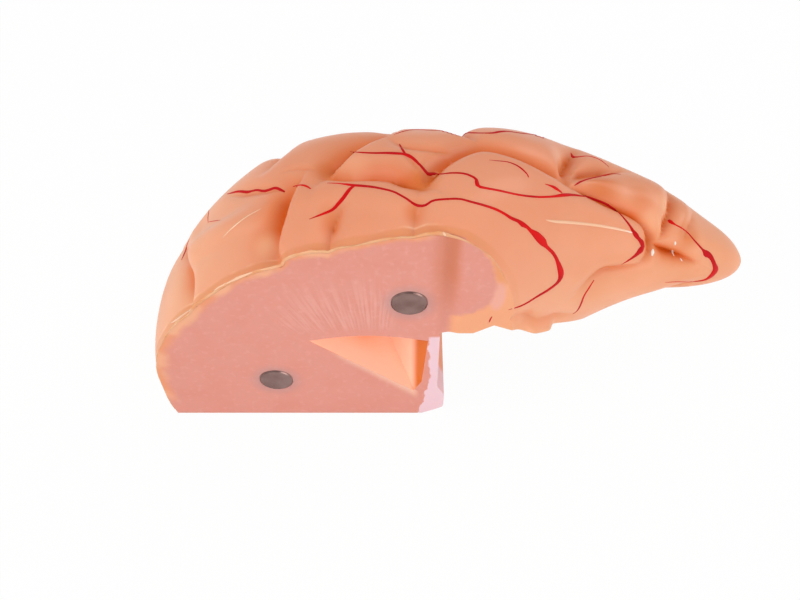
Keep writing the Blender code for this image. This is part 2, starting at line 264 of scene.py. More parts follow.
# %% Room and light
WORLD_LEVEL = 0.51
AIM = Vector((0.040, 0.0, 0.030))
LAMPS = {
    # place, size and power
    "key_lamp": ((-0.45, -0.25, 0.45), 0.40, 1.9),
    "front_lamp": ((0.45, -0.55, 0.15), 0.50, 1.7),
    "rim_lamp": ((0.50, 0.25, 0.45), 0.30, 0.9),
}
FLOOR_SIZE = 3.0
FLOOR_GAP = 0.0002
FLOOR_GLOW = 0.97

world = bpy.data.worlds.new("studio")
world.use_nodes = True
world.node_tree.nodes["Background"].inputs["Color"].default_value = (1.0, 1.0, 1.0, 1.0)
world.node_tree.nodes["Background"].inputs["Strength"].default_value = WORLD_LEVEL
bpy.context.scene.world = world
bpy.context.scene.view_settings.view_transform = "Standard"


def soft_lamp(name, place, size, power):
    data = bpy.data.lights.new(name, "AREA")
    data.shape = "DISK"
    data.size = size
    data.energy = power
    lamp = bpy.data.objects.new(name, data)
    lamp.location = place
    lamp.rotation_euler = (AIM - Vector(place)).to_track_quat("-Z", "Y").to_euler()
    bpy.context.scene.collection.objects.link(lamp)


def floor_finish():
    """White to the camera and in reflections, with a faint shadow of the object kept."""
    finish = Finish("white_floor", Roughness=0.9, Base_Color=FLOOR_WHITE)
    path = finish.tree.nodes.new("ShaderNodeLightPath")
    seen = Signal(finish, path.outputs["Is Camera Ray"])
    mirrored = Signal(finish, path.outputs["Is Glossy Ray"])
    through = Signal(finish, path.outputs["Is Transmission Ray"])
    glow = finish.node("ShaderNodeEmission", {}, {"Color": (1.0, 1.0, 1.0, 1.0), "Strength": 1.0})
    body = Signal(finish, finish.shader.outputs["BSDF"])
    share = seen.or_more(mirrored).or_more(through) * FLOOR_GLOW
    mixed = finish.node("ShaderNodeMixShader", {}, {0: share, 1: body, 2: glow})
    finish.tree.links.new(mixed.socket, finish.tree.nodes["Material Output"].inputs["Surface"])
    return finish.material


def white_floor():
    sheet = bmesh.new()
    bmesh.ops.create_grid(sheet, x_segments=1, y_segments=1, size=FLOOR_SIZE)
    mesh = bpy.data.meshes.new("white_floor")
    sheet.to_mesh(mesh)
    sheet.free()
    mesh.materials.append(floor_finish())
    floor = bpy.data.objects.new("white_floor", mesh)
    floor.location.z = -FLOOR_GAP
    bpy.context.scene.collection.objects.link(floor)


for lamp_name, lamp_values in LAMPS.items():
    soft_lamp(lamp_name, *lamp_values)
white_floor()
print("lamps:", list(LAMPS))

# %% [markdown]
# ## The smooth lobe
# Under its folds the lobe is a drawn-out ball. Sculpting would do, but a table of sections is
# easier to steer: each row gives a place along the lobe and how far the section reaches to the
# front, back, top and bottom. A sphere laid along X is drawn out to that table, which keeps
# the mesh closed at both ends. These are the sizes of the solid in the frame.

# %% The smooth lobe
LOBE_LENGTH = 0.1450
LOBE_DEPTH = 0.050
LOBE_THICKNESS = 0.071
LEFT_END_X = -0.0293
CUT_FACE_Y = -0.020

SECTIONS = (
    # share  mid_y  mid_z  front  back   top    bottom
    (0.00, 0.25, 0.22, 0.72, 0.62, 0.40, 0.82),
    (0.11, 0.34, 0.33, 0.70, 0.58, 0.45, 0.70),
    (0.22, 0.34, 0.42, 0.67, 0.65, 0.475, 0.58),
    (0.35, 0.31, 0.46, 0.65, 0.70, 0.49, 0.58),
    (0.47, 0.28, 0.51, 0.58, 0.66, 0.48, 0.53),
    (0.58, 0.38, 0.51, 0.38, 0.605, 0.43, 0.42),
    (0.70, 0.52, 0.49, 0.31, 0.475, 0.30, 0.32),
    (0.82, 0.54, 0.49, 0.23, 0.325, 0.195, 0.19),
    (0.93, 0.53, 0.42, 0.15, 0.27, 0.14, 0.12),
    (1.00, 0.58, 0.36, 0.16, 0.26, 0.13, 0.12),
)
SECTION_SQUARENESS = 2.2
OCCIPITAL_ROUNDING = (0.42, 2.7)
TEMPORAL_ROUNDING = (0.82, 1.9)


def smooth_course(knots, values, at):
    """A smooth curve through values at the knots, one column for each kind of value."""
    knots = np.asarray(knots, float)
    values = np.asarray(values, float)
    slopes = np.gradient(values, knots, axis=0)
    place = np.clip(np.searchsorted(knots, at, side="right") - 1, 0, len(knots) - 2)
    span = (knots[place + 1] - knots[place])[:, None]
    t = (at[:, None] - knots[place][:, None]) / span
    start = (1 + 2 * t) * (1 - t) ** 2 * values[place] + t * (1 - t) ** 2 * span * slopes[place]
    end = t**2 * (3 - 2 * t) * values[place + 1] + t**2 * (t - 1) * span * slopes[place + 1]
    return start + end


def course_points(places, steps):
    """The same course with even steps between each two of its places."""
    knots = np.arange(len(places), dtype=float)
    at = np.linspace(0.0, knots[-1], steps * (len(places) - 1) + 1)
    return smooth_course(knots, places, at)


def end_rounding(share):
    """How far a section has shrunk towards the lobe's two rounded ends."""
    start, power = OCCIPITAL_ROUNDING
    left = np.clip((start - share) / start, 0.0, 1.0)
    factor = (1.0 - left**power) ** (1.0 / power)
    start, power = TEMPORAL_ROUNDING
    right = np.clip((share - start) / (1.0 - start), 0.0, 1.0)
    return factor * (1.0 - right**power) ** (1.0 / power)


def on_lobe(share, around):
    """Points of the smooth lobe, at shares of its length and angles around it."""
    table = np.asarray(SECTIONS)
    mid_y, mid_z, front, back, top, bottom = smooth_course(table[:, 0], table[:, 1:], share).T
    cosine = np.cos(around)
    sine = np.sin(around)
    power = 2.0 / SECTION_SQUARENESS
    out_y = np.sign(cosine) * np.abs(cosine) ** power
    out_z = np.sign(sine) * np.abs(sine) ** power
    shrink = end_rounding(share)
    y = mid_y + np.where(out_y < 0, front, back) * out_y * shrink
    z = mid_z + np.where(out_z > 0, top, bottom) * out_z * shrink
    x = LEFT_END_X + LOBE_LENGTH * share
    return np.stack([x, CUT_FACE_Y + LOBE_DEPTH * y, LOBE_THICKNESS * z], axis=1)


# %% [markdown]
# ## The folds
# The cortex of a vinyl model is a set of puffed pillows that meet in narrow creases. Each crease
# is drawn as a course along the lobe, with a depth and a bank on either side. A bank is a
# quarter round: steep at the crease and level at its crown. A narrow bank stands over a wide
# one, which is how one fold laps over the next.

# %% The folds
FOLD_DEPTH = 0.0050
FOLD_WIDTH = 0.0060
FOLD_FADE = 0.0060
FOLD_END_SHARE = 0.35
FOLD_STEPS = 40
FOLD_CROWN = 0.0003

SULCI = {
    # depth, left bank, right bank, then places as per cent of the length and degrees around
    "calcarine bank": (
        1.15, 0.6, 2.3,
        ((26, 85), (24.9, 88), (23.9, 94), (23.1, 101), (22.5, 108), (22.5, 114), (24, 121)),
    ),
    "first cleft": (0.70, 0.8, 0.8, ((33, 98), (31.5, 106), (30.9, 112), (30.7, 118))),
    "second cleft": (0.65, 0.9, 0.8, ((43, 100), (42.9, 108), (42.8, 114))),
    "row furrow": (
        1.20, 1.5, 0.7,
        ((29, 86), (31, 86), (34, 86.5), (37, 87), (39.5, 88), (42, 91), (44.4, 94)),
    ),
    "row furrow end": (0.5, 1.0, 0.8, ((14, 72), (17.4, 80), (22.2, 87), (26, 88))),
    "angular bank": (
        1.2, 2.0, 0.7,
        ((29.6, 87), (30.4, 82), (31.4, 78), (32.9, 72), (35.1, 66), (38.2, 58), (39.5, 44)),
    ),
    "shoulder step": (0.4, 0.8, 0.6, ((22.9, 79), (24.5, 79), (26.4, 80), (28.4, 82), (29.4, 86))),
    "mid bank": (
        1.15, 1.5, 0.75,
        (
            (44.2, 94), (44.8, 90), (45.4, 87.5), (46.8, 83), (49.6, 77), (52.9, 74), (57.5, 78),
            (62.4, 84), (65.3, 88), (67.6, 94),
        ),
    ),
    "upper bank": (0.5, 1.1, 0.8, ((39.5, 66), (41.4, 71), (45.4, 74), (49.8, 74), (53, 73))),
    "artery furrow": (0.5, 0.9, 0.9, ((41.4, 76), (43.2, 84), (44.4, 90))),
    "far cleft": (1.1, 1.2, 0.9, ((67.5, 94), (66.9, 85), (67.9, 74), (69.2, 58))),
    "hook furrow": (0.8, 0.9, 1.0, ((67.5, 90), (69.6, 82), (72.4, 75), (74.8, 68), (77, 60))),
    "pole furrow": (
        1.0, 1.1, 0.9,
        (
            (67.5, 94), (70.9, 96), (73.2, 100), (75.6, 104), (77.9, 108), (79.9, 115),
            (80.8, 126), (81, 138), (80.8, 150), (79.6, 161),
        ),
    ),
    "pole pit": (1.1, 1.1, 1.3, ((81, 136), (83.8, 146), (86.9, 151), (89.6, 156))),
    "hook bank": (
        0.85, 0.9, 0.8,
        ((85.3, 56), (85.6, 67), (84.9, 87), (83.8, 110), (83.1, 126), (82, 138)),
    ),
    "pole crease": (0.35, 0.7, 0.7, ((89.5, 72), (88.4, 90), (87.5, 106), (86.6, 126))),
    "lower furrow": (0.5, 1.4, 0.8, ((80.6, 158), (78, 164), (75, 164), (73.1, 164), (69.5, 174))),
    "sylvian lip": (0.4, 0.7, 0.7, ((57.4, 174), (60, 177), (62.2, 182), (65.5, 188), (69, 195))),
    "end furrow": (0.75, 0.8, 1.4, ((5, 62), (6, 79), (7.5, 98), (8.4, 110), (8.8, 122))),
    "base furrow": (1.0, 1.5, 1.5, ((6, 10), (20, -14), (38, -20), (55, -24), (72, -14), (88, -4))),
    "side furrow": (0.9, 1.4, 1.4, ((8, 40), (20, 24), (34, 28), (50, 20), (66, 26), (82, 18))),
    "base cleft one": (0.6, 1.1, 1.1, ((33, 27), (36, 8), (34, -18))),
    "base cleft two": (0.6, 1.1, 1.1, ((58, 22), (55, 0), (57, -22))),
    "side cleft one": (0.7, 1.1, 1.1, ((20, 70), (22, 50), (20, 26))),
    "side cleft two": (0.7, 1.1, 1.1, ((53, 70), (50, 48), (53, 22))),
    "uncus furrow": (0.6, 1.1, 1.1, ((62, 250), (74, 240), (84, 225), (90, 200))),
}

SWELLS = {
    # height, spread, places
    "fan ridge": (0.22, 0.9, ((8, 92), (13.8, 94), (21, 94))),
    "fan hollow": (-0.20, 1.0, ((9, 74), (12.7, 83), (18.7, 91))),
    "row crest": (0.10, 0.8, ((26, 94), (34, 95), (42, 99))),
    "lip bump": (0.52, 0.8, ((61.5, 186), (62.6, 189), (63.5, 192))),
    "pole pillow": (0.20, 1.3, ((82, 78), (86.6, 80))),
}


def course_on_lobe(places):
    """Points along a crease, from the shares of length and the degrees around of its course."""
    share, degrees = course_points(places, FOLD_STEPS).T
    return on_lobe(np.clip(share / 100.0, 0.0, 1.0), np.radians(degrees))


def fold_relief(points, normals, sulcus):
    """How far one crease sinks each point, nothing beyond its wider bank."""
    depth, left_width, right_width, places = sulcus
    course = course_on_lobe(places)
    along = np.gradient(course, axis=0)
    reach = FOLD_WIDTH * max(left_width, right_width)
    sunk = np.zeros(len(points))
    low = course.min(axis=0) - reach
    high = course.max(axis=0) + reach
    near = np.all((points > low) & (points < high), axis=1)
    here = points[near]
    offset = here[:, None, :] - course[None, :, :]
    distance = np.linalg.norm(offset, axis=2)
    nearest = distance.argmin(axis=1)
    row = np.arange(len(here))
    nearest_distance = distance[row, nearest]
    right_hand = np.cross(along[nearest], normals[near])
    on_right = np.einsum("ij,ij->i", right_hand, offset[row, nearest]) > 0
    width = FOLD_WIDTH * np.where(on_right, right_width, left_width)
    rise = np.clip(nearest_distance / width, 0.0, 1.0)
    bank = 1.0 - np.sqrt(1.0 - (1.0 - rise) ** 2)
    travelled = np.concatenate([[0.0], np.cumsum(np.linalg.norm(np.diff(course, axis=0), axis=1))])
    from_end = np.minimum(travelled, travelled[-1] - travelled)[nearest]
    fade = FOLD_END_SHARE + (1.0 - FOLD_END_SHARE) * np.clip(from_end / FOLD_FADE, 0.0, 1.0)
    sunk[near] = FOLD_DEPTH * depth * bank * fade
    return sunk


def swell_relief(points, swell):
    """How far one swell lifts each point, or a hollow lowers it."""
    height, spread, places = swell
    half_width = FOLD_WIDTH * spread
    offset = points[:, None, :] - course_on_lobe(places)[None, :, :]
    distance = np.linalg.norm(offset, axis=2).min(axis=1)
    return FOLD_DEPTH * height * np.clip(1.0 - (distance / half_width) ** 2, 0.0, 1.0) ** 2


print("creases:", len(SULCI), "swells:", len(SWELLS))

# %% [markdown]
# ## The fine casting
# The same ball is cut much finer here than in the solid, so that a crease half a millimetre wide
# still has faces of its own. How deep each point has sunk is kept on the mesh, because the
# finish paints shade into the creases, a deeper orange, and reads the depth from there. The
# creases are smoothed a little more than the crowns. The flat cut face is ruled into small
# squares, because one large face has no points inside it to carry the marks of the finish.

# %% The fine casting
STATIONS = 368
SPOKES = 364
CREASED = 0.30
CREASE_PASSES = 2
SQUARE = 0.0014


def folded_lobe():
    lobe = bmesh.new()
    bmesh.ops.create_uvsphere(lobe, u_segments=SPOKES, v_segments=STATIONS, radius=1.0)
    unit = np.array([vertex.co[:] for vertex in lobe.verts])
    share = (1.0 - np.clip(unit[:, 2], -1.0, 1.0)) / 2.0
    around = np.arctan2(unit[:, 1], unit[:, 0])
    for vertex, place in zip(lobe.verts, on_lobe(share, around)):
        vertex.co = place
    lobe.normal_update()
    bmesh.ops.recalc_face_normals(lobe, faces=lobe.faces)
    lobe.normal_update()
    points = np.array([vertex.co[:] for vertex in lobe.verts])
    normals = np.array([vertex.normal[:] for vertex in lobe.verts])
    sunk = np.zeros(len(points))
    for sulcus in SULCI.values():
        sunk = np.maximum(sunk, fold_relief(points, normals, sulcus))
    lifted = FOLD_CROWN - sunk
    for swell in SWELLS.values():
        lifted += swell_relief(points, swell)
    folded = points + normals * lifted[:, None]
    depth_layer = lobe.verts.layers.float.new("fold")
    for vertex, place, depth in zip(lobe.verts, folded, sunk):
        vertex.co = place
        vertex[depth_layer] = depth / FOLD_DEPTH
    creased = [vertex for vertex, depth in zip(lobe.verts, sunk) if depth > CREASED * FOLD_DEPTH]
    for soft in [lobe.verts[:]] + [creased] * CREASE_PASSES:
        bmesh.ops.smooth_vert(
            lobe, verts=soft, factor=0.5, use_axis_x=True, use_axis_y=True, use_axis_z=True
        )
    return lobe


def keep_side(lobe, point, normal):
    """Cuts the lobe flat at a plane, closes it, and returns its rim's places and the new faces."""
    geometry = lobe.verts[:] + lobe.edges[:] + lobe.faces[:]
    cut = bmesh.ops.bisect_plane(
        lobe, geom=geometry, dist=1e-7, plane_co=point, plane_no=normal, clear_outer=True
    )
    rim = [part for part in cut["geom_cut"] if isinstance(part, bmesh.types.BMEdge)]
    filled = bmesh.ops.holes_fill(lobe, edges=rim, sides=0)["faces"]
    neighbours = {}
    for edge in rim:
        for vertex in edge.verts:
            neighbours.setdefault(vertex, []).append(edge.other_vert(vertex))
    walk = [rim[0].verts[0], rim[0].verts[1]]
    while walk[-1] is not walk[0]:
        first, second = neighbours[walk[-1]]
        walk.append(second if first is walk[-2] else first)
    return [vertex.co.copy() for vertex in walk[:-1]], filled


def rule_face(lobe, faces, spacing):
    """Rules a flat face into small squares, so that it can carry a shade that varies."""
    corners = [vertex for face in faces for vertex in face.verts]
    geometry = list(faces) + corners + [edge for face in faces for edge in face.edges]
    low = [min(corner.co[axis] for corner in corners) for axis in range(3)]
    high = [max(corner.co[axis] for corner in corners) for axis in range(3)]
    for axis in (0, 2):
        normal = Vector((axis == 0, 0.0, axis == 2))
        for place in np.arange(low[axis] + spacing, high[axis], spacing).tolist():
            cut = bmesh.ops.bisect_plane(
                lobe, geom=geometry, dist=1e-7, plane_co=normal * place, plane_no=normal
            )
            geometry = cut["geom"]


def mesh_of(name, shape):
    mesh = bpy.data.meshes.new(name)
    shape.to_mesh(mesh)
    shape.free()
    item = bpy.data.objects.new(name, mesh)
    bpy.context.scene.collection.objects.link(item)
    return item


lobe_shape = folded_lobe()
seam_rim, cut_faces = keep_side(lobe_shape, (0.0, CUT_FACE_Y, 0.0), (0.0, -1.0, 0.0))
rule_face(lobe_shape, cut_faces, SQUARE)
keep_side(lobe_shape, (0.0, 0.0, 0.0), (0.0, 0.0, -1.0))
casting = mesh_of("lobe_casting", lobe_shape)
print("casting before its hollows:", len(casting.data.polygons), "faces")

# %% [markdown]
# ## The hollows
# The pocket of the ventricle, the notch beside the thin wall and the shallow groove are cut with
# Boolean modifiers, because their walls meet the cut face in crisp edges that no amount of
# pushing would give. The cutters have the sizes of the solid in the frame.

# %% The hollows
OVERRUN = 0.020
POCKET_LEFT_X = 0.0090
POCKET_WIDTH = 0.0275
POCKET_TOP_Z = 0.0335
POCKET_ARCH = 0.0020
POCKET_FOOT_Z = 0.0105
POCKET_FOOT_INSET = 0.0030
POCKET_BEND_INSET = 0.0012
POCKET_BEND_RISE = 0.0040
POCKET_DEPTH = 0.0190
POCKET_TAPER = 0.62
POCKET_WALL = 0.0026
NOTCH_HEIGHT = 0.0345
NOTCH_WIDTH = 0.0075
NOTCH_LIFT = 0.0030
NOTCH_LIFT_RUN = 0.0045
NOTCH_BACK_HEIGHT = 0.0130
NOTCH_FALL = 0.45
NOTCH_FOOT_RADIUS = 0.0045
NOTCH_FLARE = 0.0018
NOTCH_FLARE_TOP_Z = 0.0125
NOTCH_FLARE_FOOT_Z = 0.0085
NOTCH_OVERRUN = 0.0050
GROOVE_X = 0.0410
GROOVE_SPREAD = 0.0026
GROOVE_DEPTH = 0.0006
GROOVE_START = 0.00001
SEAT_RADIUS = 0.00402
SEAT_DEPTH = 0.0028
SEAT_SEGMENTS = 96
MAGNET_PLACES = ((0.0320, 0.0455), (0.0000, 0.0152))
SHARP_FROM = math.radians(40.0)


def outward(shape):
    shape.normal_update()
    bmesh.ops.recalc_face_normals(shape, faces=shape.faces)
    return shape


def drawn_out(rim, axis, end):
    """Fills a rim of places and draws it out along one axis, up to an end."""
    shape = bmesh.new()
    face = shape.faces.new([shape.verts.new(place) for place in rim])
    drawn = bmesh.ops.extrude_face_region(shape, geom=[face])
    for part in drawn["geom"]:
        if isinstance(part, bmesh.types.BMVert):
            part.co[axis] = end
    return shape


def prism(outline, front_y, back_y):
    """An outline in X and Z, filled and drawn back along Y."""
    return drawn_out([(x, front_y, z) for x, z in outline], 1, back_y)


def pocket_cutter(arch_steps=16):
    right = POCKET_LEFT_X + POCKET_WIDTH
    outline = []
    for step in range(arch_steps + 1):
        share = step / arch_steps
        lift = POCKET_ARCH * math.sin(math.pi * share)
        outline.append((POCKET_LEFT_X + POCKET_WIDTH * share, POCKET_TOP_Z - POCKET_ARCH + lift))
    outline.append((right - POCKET_BEND_INSET, POCKET_FOOT_Z + POCKET_BEND_RISE))
    outline.append((right - POCKET_FOOT_INSET, POCKET_FOOT_Z))
    shape = prism(outline, CUT_FACE_Y - OVERRUN, CUT_FACE_Y + POCKET_DEPTH)
    for vertex in shape.verts:
        inward = (vertex.co.y - CUT_FACE_Y) / POCKET_DEPTH
        scale = 1.0 - (1.0 - POCKET_TAPER) * inward
        vertex.co.x = POCKET_LEFT_X + (vertex.co.x - POCKET_LEFT_X) * scale
        vertex.co.z = POCKET_TOP_Z + (vertex.co.z - POCKET_TOP_Z) * scale
    return outward(shape)


def notch_cutter(fillet_steps=12):
    wall = POCKET_LEFT_X + POCKET_WIDTH + POCKET_WALL
    foot = wall + NOTCH_FLARE
    corner = wall + NOTCH_WIDTH
    lifted = corner + NOTCH_LIFT_RUN
    far = LEFT_END_X + LOBE_LENGTH + OVERRUN
    bottom = -LOBE_THICKNESS
    radius = NOTCH_FOOT_RADIUS
    outline = [(far, bottom), (foot - radius, bottom)]
    for step in range(fillet_steps + 1):
        angle = math.radians(90.0 * step / fillet_steps)
        across = foot - radius + radius * math.sin(angle)
        outline.append((across, radius - radius * math.cos(angle)))
    outline += [(foot, NOTCH_FLARE_FOOT_Z), (wall, NOTCH_FLARE_TOP_Z)]
    roof_start = len(outline)
    crest = NOTCH_HEIGHT + NOTCH_LIFT
    outline += [(wall, NOTCH_HEIGHT), (corner, NOTCH_HEIGHT), (lifted, crest)]
    outline.append((far, crest - NOTCH_FALL * (far - lifted)))
    back = CUT_FACE_Y + LOBE_DEPTH + NOTCH_OVERRUN
    shape = prism(outline, CUT_FACE_Y - OVERRUN, back)
    slope = (NOTCH_HEIGHT - NOTCH_BACK_HEIGHT) / (back - CUT_FACE_Y)
    for number, vertex in enumerate(shape.verts):
        if number % len(outline) >= roof_start:
            vertex.co.z -= slope * (vertex.co.y - CUT_FACE_Y)
    return outward(shape)


def groove_cutter(steps=20):
    """The groove has a bell for its section, so it leaves no hard edge on the cut face."""
    front = CUT_FACE_Y - OVERRUN
    outline = [(GROOVE_X + GROOVE_SPREAD, front), (GROOVE_X - GROOVE_SPREAD, front)]
    for step in range(steps + 1):
        turn = math.pi * (2.0 * step / steps - 1.0)
        depth = GROOVE_DEPTH * 0.5 * (1.0 + math.cos(turn)) - GROOVE_START
        outline.append((GROOVE_X + GROOVE_SPREAD * turn / math.pi, CUT_FACE_Y + depth))
    low = NOTCH_HEIGHT - OVERRUN
    rim = [(x, y, low) for x, y in outline]
    return outward(drawn_out(rim, 2, LOBE_THICKNESS + OVERRUN))


def seat_cutter(x, z):
    shape = bmesh.new()
    bmesh.ops.create_cone(
        shape, cap_ends=True, segments=SEAT_SEGMENTS, radius1=SEAT_RADIUS, radius2=SEAT_RADIUS,
        depth=OVERRUN + SEAT_DEPTH,
    )
    for vertex in shape.verts:
        across, up, height = vertex.co
        vertex.co = (x + across, CUT_FACE_Y + 0.5 * (SEAT_DEPTH - OVERRUN) + height, z + up)
    return outward(shape)


def cut_out(target, cutters):
    """Takes each cutter out of the target and leaves a plain mesh."""
    made = []
    for number, shape in enumerate(cutters):
        cutter = mesh_of(f"cutter_{number}", shape)
        boolean = target.modifiers.new(cutter.name, "BOOLEAN")
        boolean.operation = "DIFFERENCE"
        boolean.solver = "EXACT"
        boolean.object = cutter
        made.append(cutter)
    graph = bpy.context.evaluated_depsgraph_get()
    done = bpy.data.meshes.new_from_object(target.evaluated_get(graph))
    target.modifiers.clear()
    target.data = done
    for cutter in made:
        bpy.data.objects.remove(cutter, do_unlink=True)


seats = [seat_cutter(x, z) for x, z in MAGNET_PLACES]
cut_out(casting, [notch_cutter(), pocket_cutter(), groove_cutter(), *seats])
casting.data.shade_smooth()
casting.data.set_sharp_from_angle(angle=SHARP_FROM)
triangles = sum(len(face.vertices) - 2 for face in casting.data.polygons)
print("casting with its hollows:", triangles, "triangles")

# %% [markdown]
# ## Marks for the finish
# Two things can't be told from a point's place alone: how near it lies to the trimmed seam, and
# how much painted shade deepens its colour in corners and pits, and painted light makes it paler
# on crests, beyond what its fold gives. Both are worked out once and kept on the points of the
# mesh, where the finish reads them back by name.

# %% Marks for the finish
SEAM_REACH = 9.0
# Places of painted shade, with a strength above 0, and of painted light, with one below 0.
SHADE_AND_LIGHT_PLACES = {
    # pixel of the photograph, reach, strength: above 0 deeper, below 0 paler
    "corner under the second fold": (422, 182, 0.0055, 0.80),
    "corner under the first fold": (326, 173, 0.0045, 0.50),
    "first cleft, top": (330, 214, 0.0034, 0.30),
    "first cleft, foot": (331, 227, 0.0034, 0.30),
    "second cleft": (415, 212, 0.0038, 0.45),
    "trough behind the long fold": (604, 185, 0.0060, 0.60),
    "trough above the pole": (641, 197, 0.0045, 0.40),
    "pole pit": (688, 236, 0.0050, 0.60),
    "crease under the lip": (505, 320, 0.0022, 0.60),
    "end of the valley": (270, 247, 0.0045, -0.70),
    "crest above the pit": (650, 224, 0.0045, -0.60),
    "crest by the pole": (665, 206, 0.0045, -0.50),
    "second fold": (352, 170, 0.0060, -0.35),
    "far fold": (560, 160, 0.0050, -0.35),
}


def mark(mesh, name, values):
    mesh.attributes.new(name, "FLOAT", "POINT").data.foreach_set("value", values)


def mark_seam(mesh, rim):
    """Writes how far each point lies from the cut face's rim, in millimetres, 9 at the most."""
    tree = KDTree(len(rim))
    for number, place in enumerate(rim):
        tree.insert(place, number)
    tree.balance()
    away = [tree.find(vertex.co)[2] / MM for vertex in mesh.vertices]
    mark(mesh, "seam", [min(SEAM_REACH, distance) for distance in away])


def mark_shade_and_light(mesh):
    """Writes painted shade, above 0, in corners and pits, and painted light, below 0, on crests."""
    points = np.array([vertex.co[:] for vertex in mesh.vertices])
    faces = [face.vertices[:] for face in mesh.polygons]
    tree = BVHTree.FromPolygons(points.tolist(), faces)
    depth = np.zeros(len(points))
    for px, py, reach, strength in SHADE_AND_LIGHT_PLACES.values():
        place, _, _, _ = tree.ray_cast(CAMERA_PLACE, photo_ray(px, py))
        away = np.linalg.norm(points - np.array(place), axis=1) / reach
        depth += strength * np.clip(1.0 - away**2, 0.0, 1.0) ** 2
    mark(mesh, "depth", depth)


mark_seam(casting.data, seam_rim)
mark_shade_and_light(casting.data)
print("places marked by hand:", len(SHADE_AND_LIGHT_PLACES))

# %% [markdown]
# ## Signals on the casting
# Soft vinyl is tinted right through, and the cut face, the edge of the thin wall and the pocket
# are sprayed over it. One material does all of them, with masks that choose the colour. The
# masks share a few signals: the place on the object, noises of four sizes, because a spray
# mask never seals perfectly, and the marks. They are gathered once.

# %% Signals on the casting
RAGGED_SCALE = 420.0
WAVY_SCALE = 110.0
BROAD_SCALE = 45.0
MOTTLE_SCALE = 160.0


def signals_on(finish):
    """The signals that the casting's masks share."""
    where, x, y, z = finish.place()
    return SimpleNamespace(
        where=where,
        x=x,
        y=y,
        z=z,
        ragged=finish.noise(where, RAGGED_SCALE, 3.0) - 0.5,
        wavy=finish.noise(where, WAVY_SCALE, 3.0) - 0.5,
        broad=finish.noise(where, BROAD_SCALE, 2.0),
        mottle=finish.noise(where, MOTTLE_SCALE, 4.0).rises(0.40, 0.75),
        fold=finish.attribute("fold"),
        seam=finish.attribute("seam"),
        # painted shade above 0 and painted light below 0, from the marked places
        depth=finish.attribute("depth"),
    )


def from_spot(on, spot, reach=(1.0, 1.0)):
    """How far a point lies from a spot in X and Z, counted in the reach each way."""
    across = (on.x - spot[0]) / reach[0]
    up = (on.z - spot[1]) / reach[1]
    return (across**2.0 + up**2.0) ** 0.5


# %% [markdown]
# ## The cortex
# Light sinks into soft vinyl, so crowns look pale and creases glow orange; that orange is
# painted into the colour as painted shade in the creases. The depth of the fold gives most of
# that. Slow noise shifts the tint at random, the top is painted darker as painted shade, the
# lobe's left end paler as painted light, and marked places add painted shade in corners and pits
# and painted light on crests. The band along the trimmed seam is ochre with a broken cream bead
# beside it.

# %% The cortex
TOP_SHADE_Z = (0.030, 0.062)
LEFT_LIGHT_X = (-0.028, -0.021, -0.022, 0.004)
FOLD_SHADE_SHALLOW = (0.05, 0.45)
FOLD_SHADE_STEEP = (0.28, 0.80)
SEAM_CALM = (0.5, 8.0)
SEAM_BAND = (0.2, 0.8, 1.8, 2.6)
SEAM_BAND_END_X = (0.044, 0.053)
SEAM_BEAD = 2.5
SEAM_BEAD_WIDTH = 0.45
SEAM_BEAD_END_X = (0.036, 0.046)


def cortex_colour(finish, on):
    skin = finish.mix(on.broad.rises(0.35, 0.70), CORTEX_CROWN, CORTEX_SIDE)
    # Painted shade: the top of the lobe is darker.
    skin = finish.mix(on.z.rises(*TOP_SHADE_Z) * 0.7, skin, CORTEX_TOP_SHADE)
    # Painted light: the lobe's left end is paler.
    skin = finish.mix(on.x.spans(*LEFT_LIGHT_X) * 0.6, skin, CORTEX_LEFT_LIGHT)
    # Painted shade in the creases, deeper with the fold and weaker beside the seam.
    off_rim = on.seam.rises(*SEAM_CALM) * 0.75 + 0.25
    skin = finish.mix(on.fold.rises(*FOLD_SHADE_SHALLOW) * 0.42 * off_rim, skin, CREASE_SHADE_AND_OCHRE)
    skin = finish.mix(on.fold.rises(*FOLD_SHADE_STEEP) * off_rim, skin, CREASE_SHADE_AND_OCHRE)
    # Painted shade in corners and pits, and painted light on crests, from the marked places.
    skin = finish.mix(on.depth.or_more(0.0), skin, CORTEX_PAINTED_SHADE)
    skin = finish.mix((0.0 - on.depth).or_more(0.0), skin, CORTEX_PAINTED_LIGHT)
    trimmed = on.seam + on.wavy * 1.6
    band = trimmed.spans(*SEAM_BAND) * (0.5 - on.x.rises(*SEAM_BAND_END_X) * 0.35)
    skin = finish.mix(band, skin, SEAM_OCHRE)
    bead = abs(trimmed - SEAM_BEAD).falls(0.0, SEAM_BEAD_WIDTH)
    bead = bead * on.mottle * on.x.falls(*SEAM_BEAD_END_X)
    return finish.mix(bead * 0.7, skin, SEAM_CREAM)


# %% [markdown]
# ## The cut face
# The pink is sprayed on the flat face and into its groove. Pale rays fan out above the pocket, a
# grey halo rings each magnet with a thin dark brow of painted shadow along the top of its seat,
# and the groove has painted shade. To the right of it the paint stops at a ragged edge, along the
# seam bare vinyl shows through, and below the pocket's lip a pale band is a painted highlight.

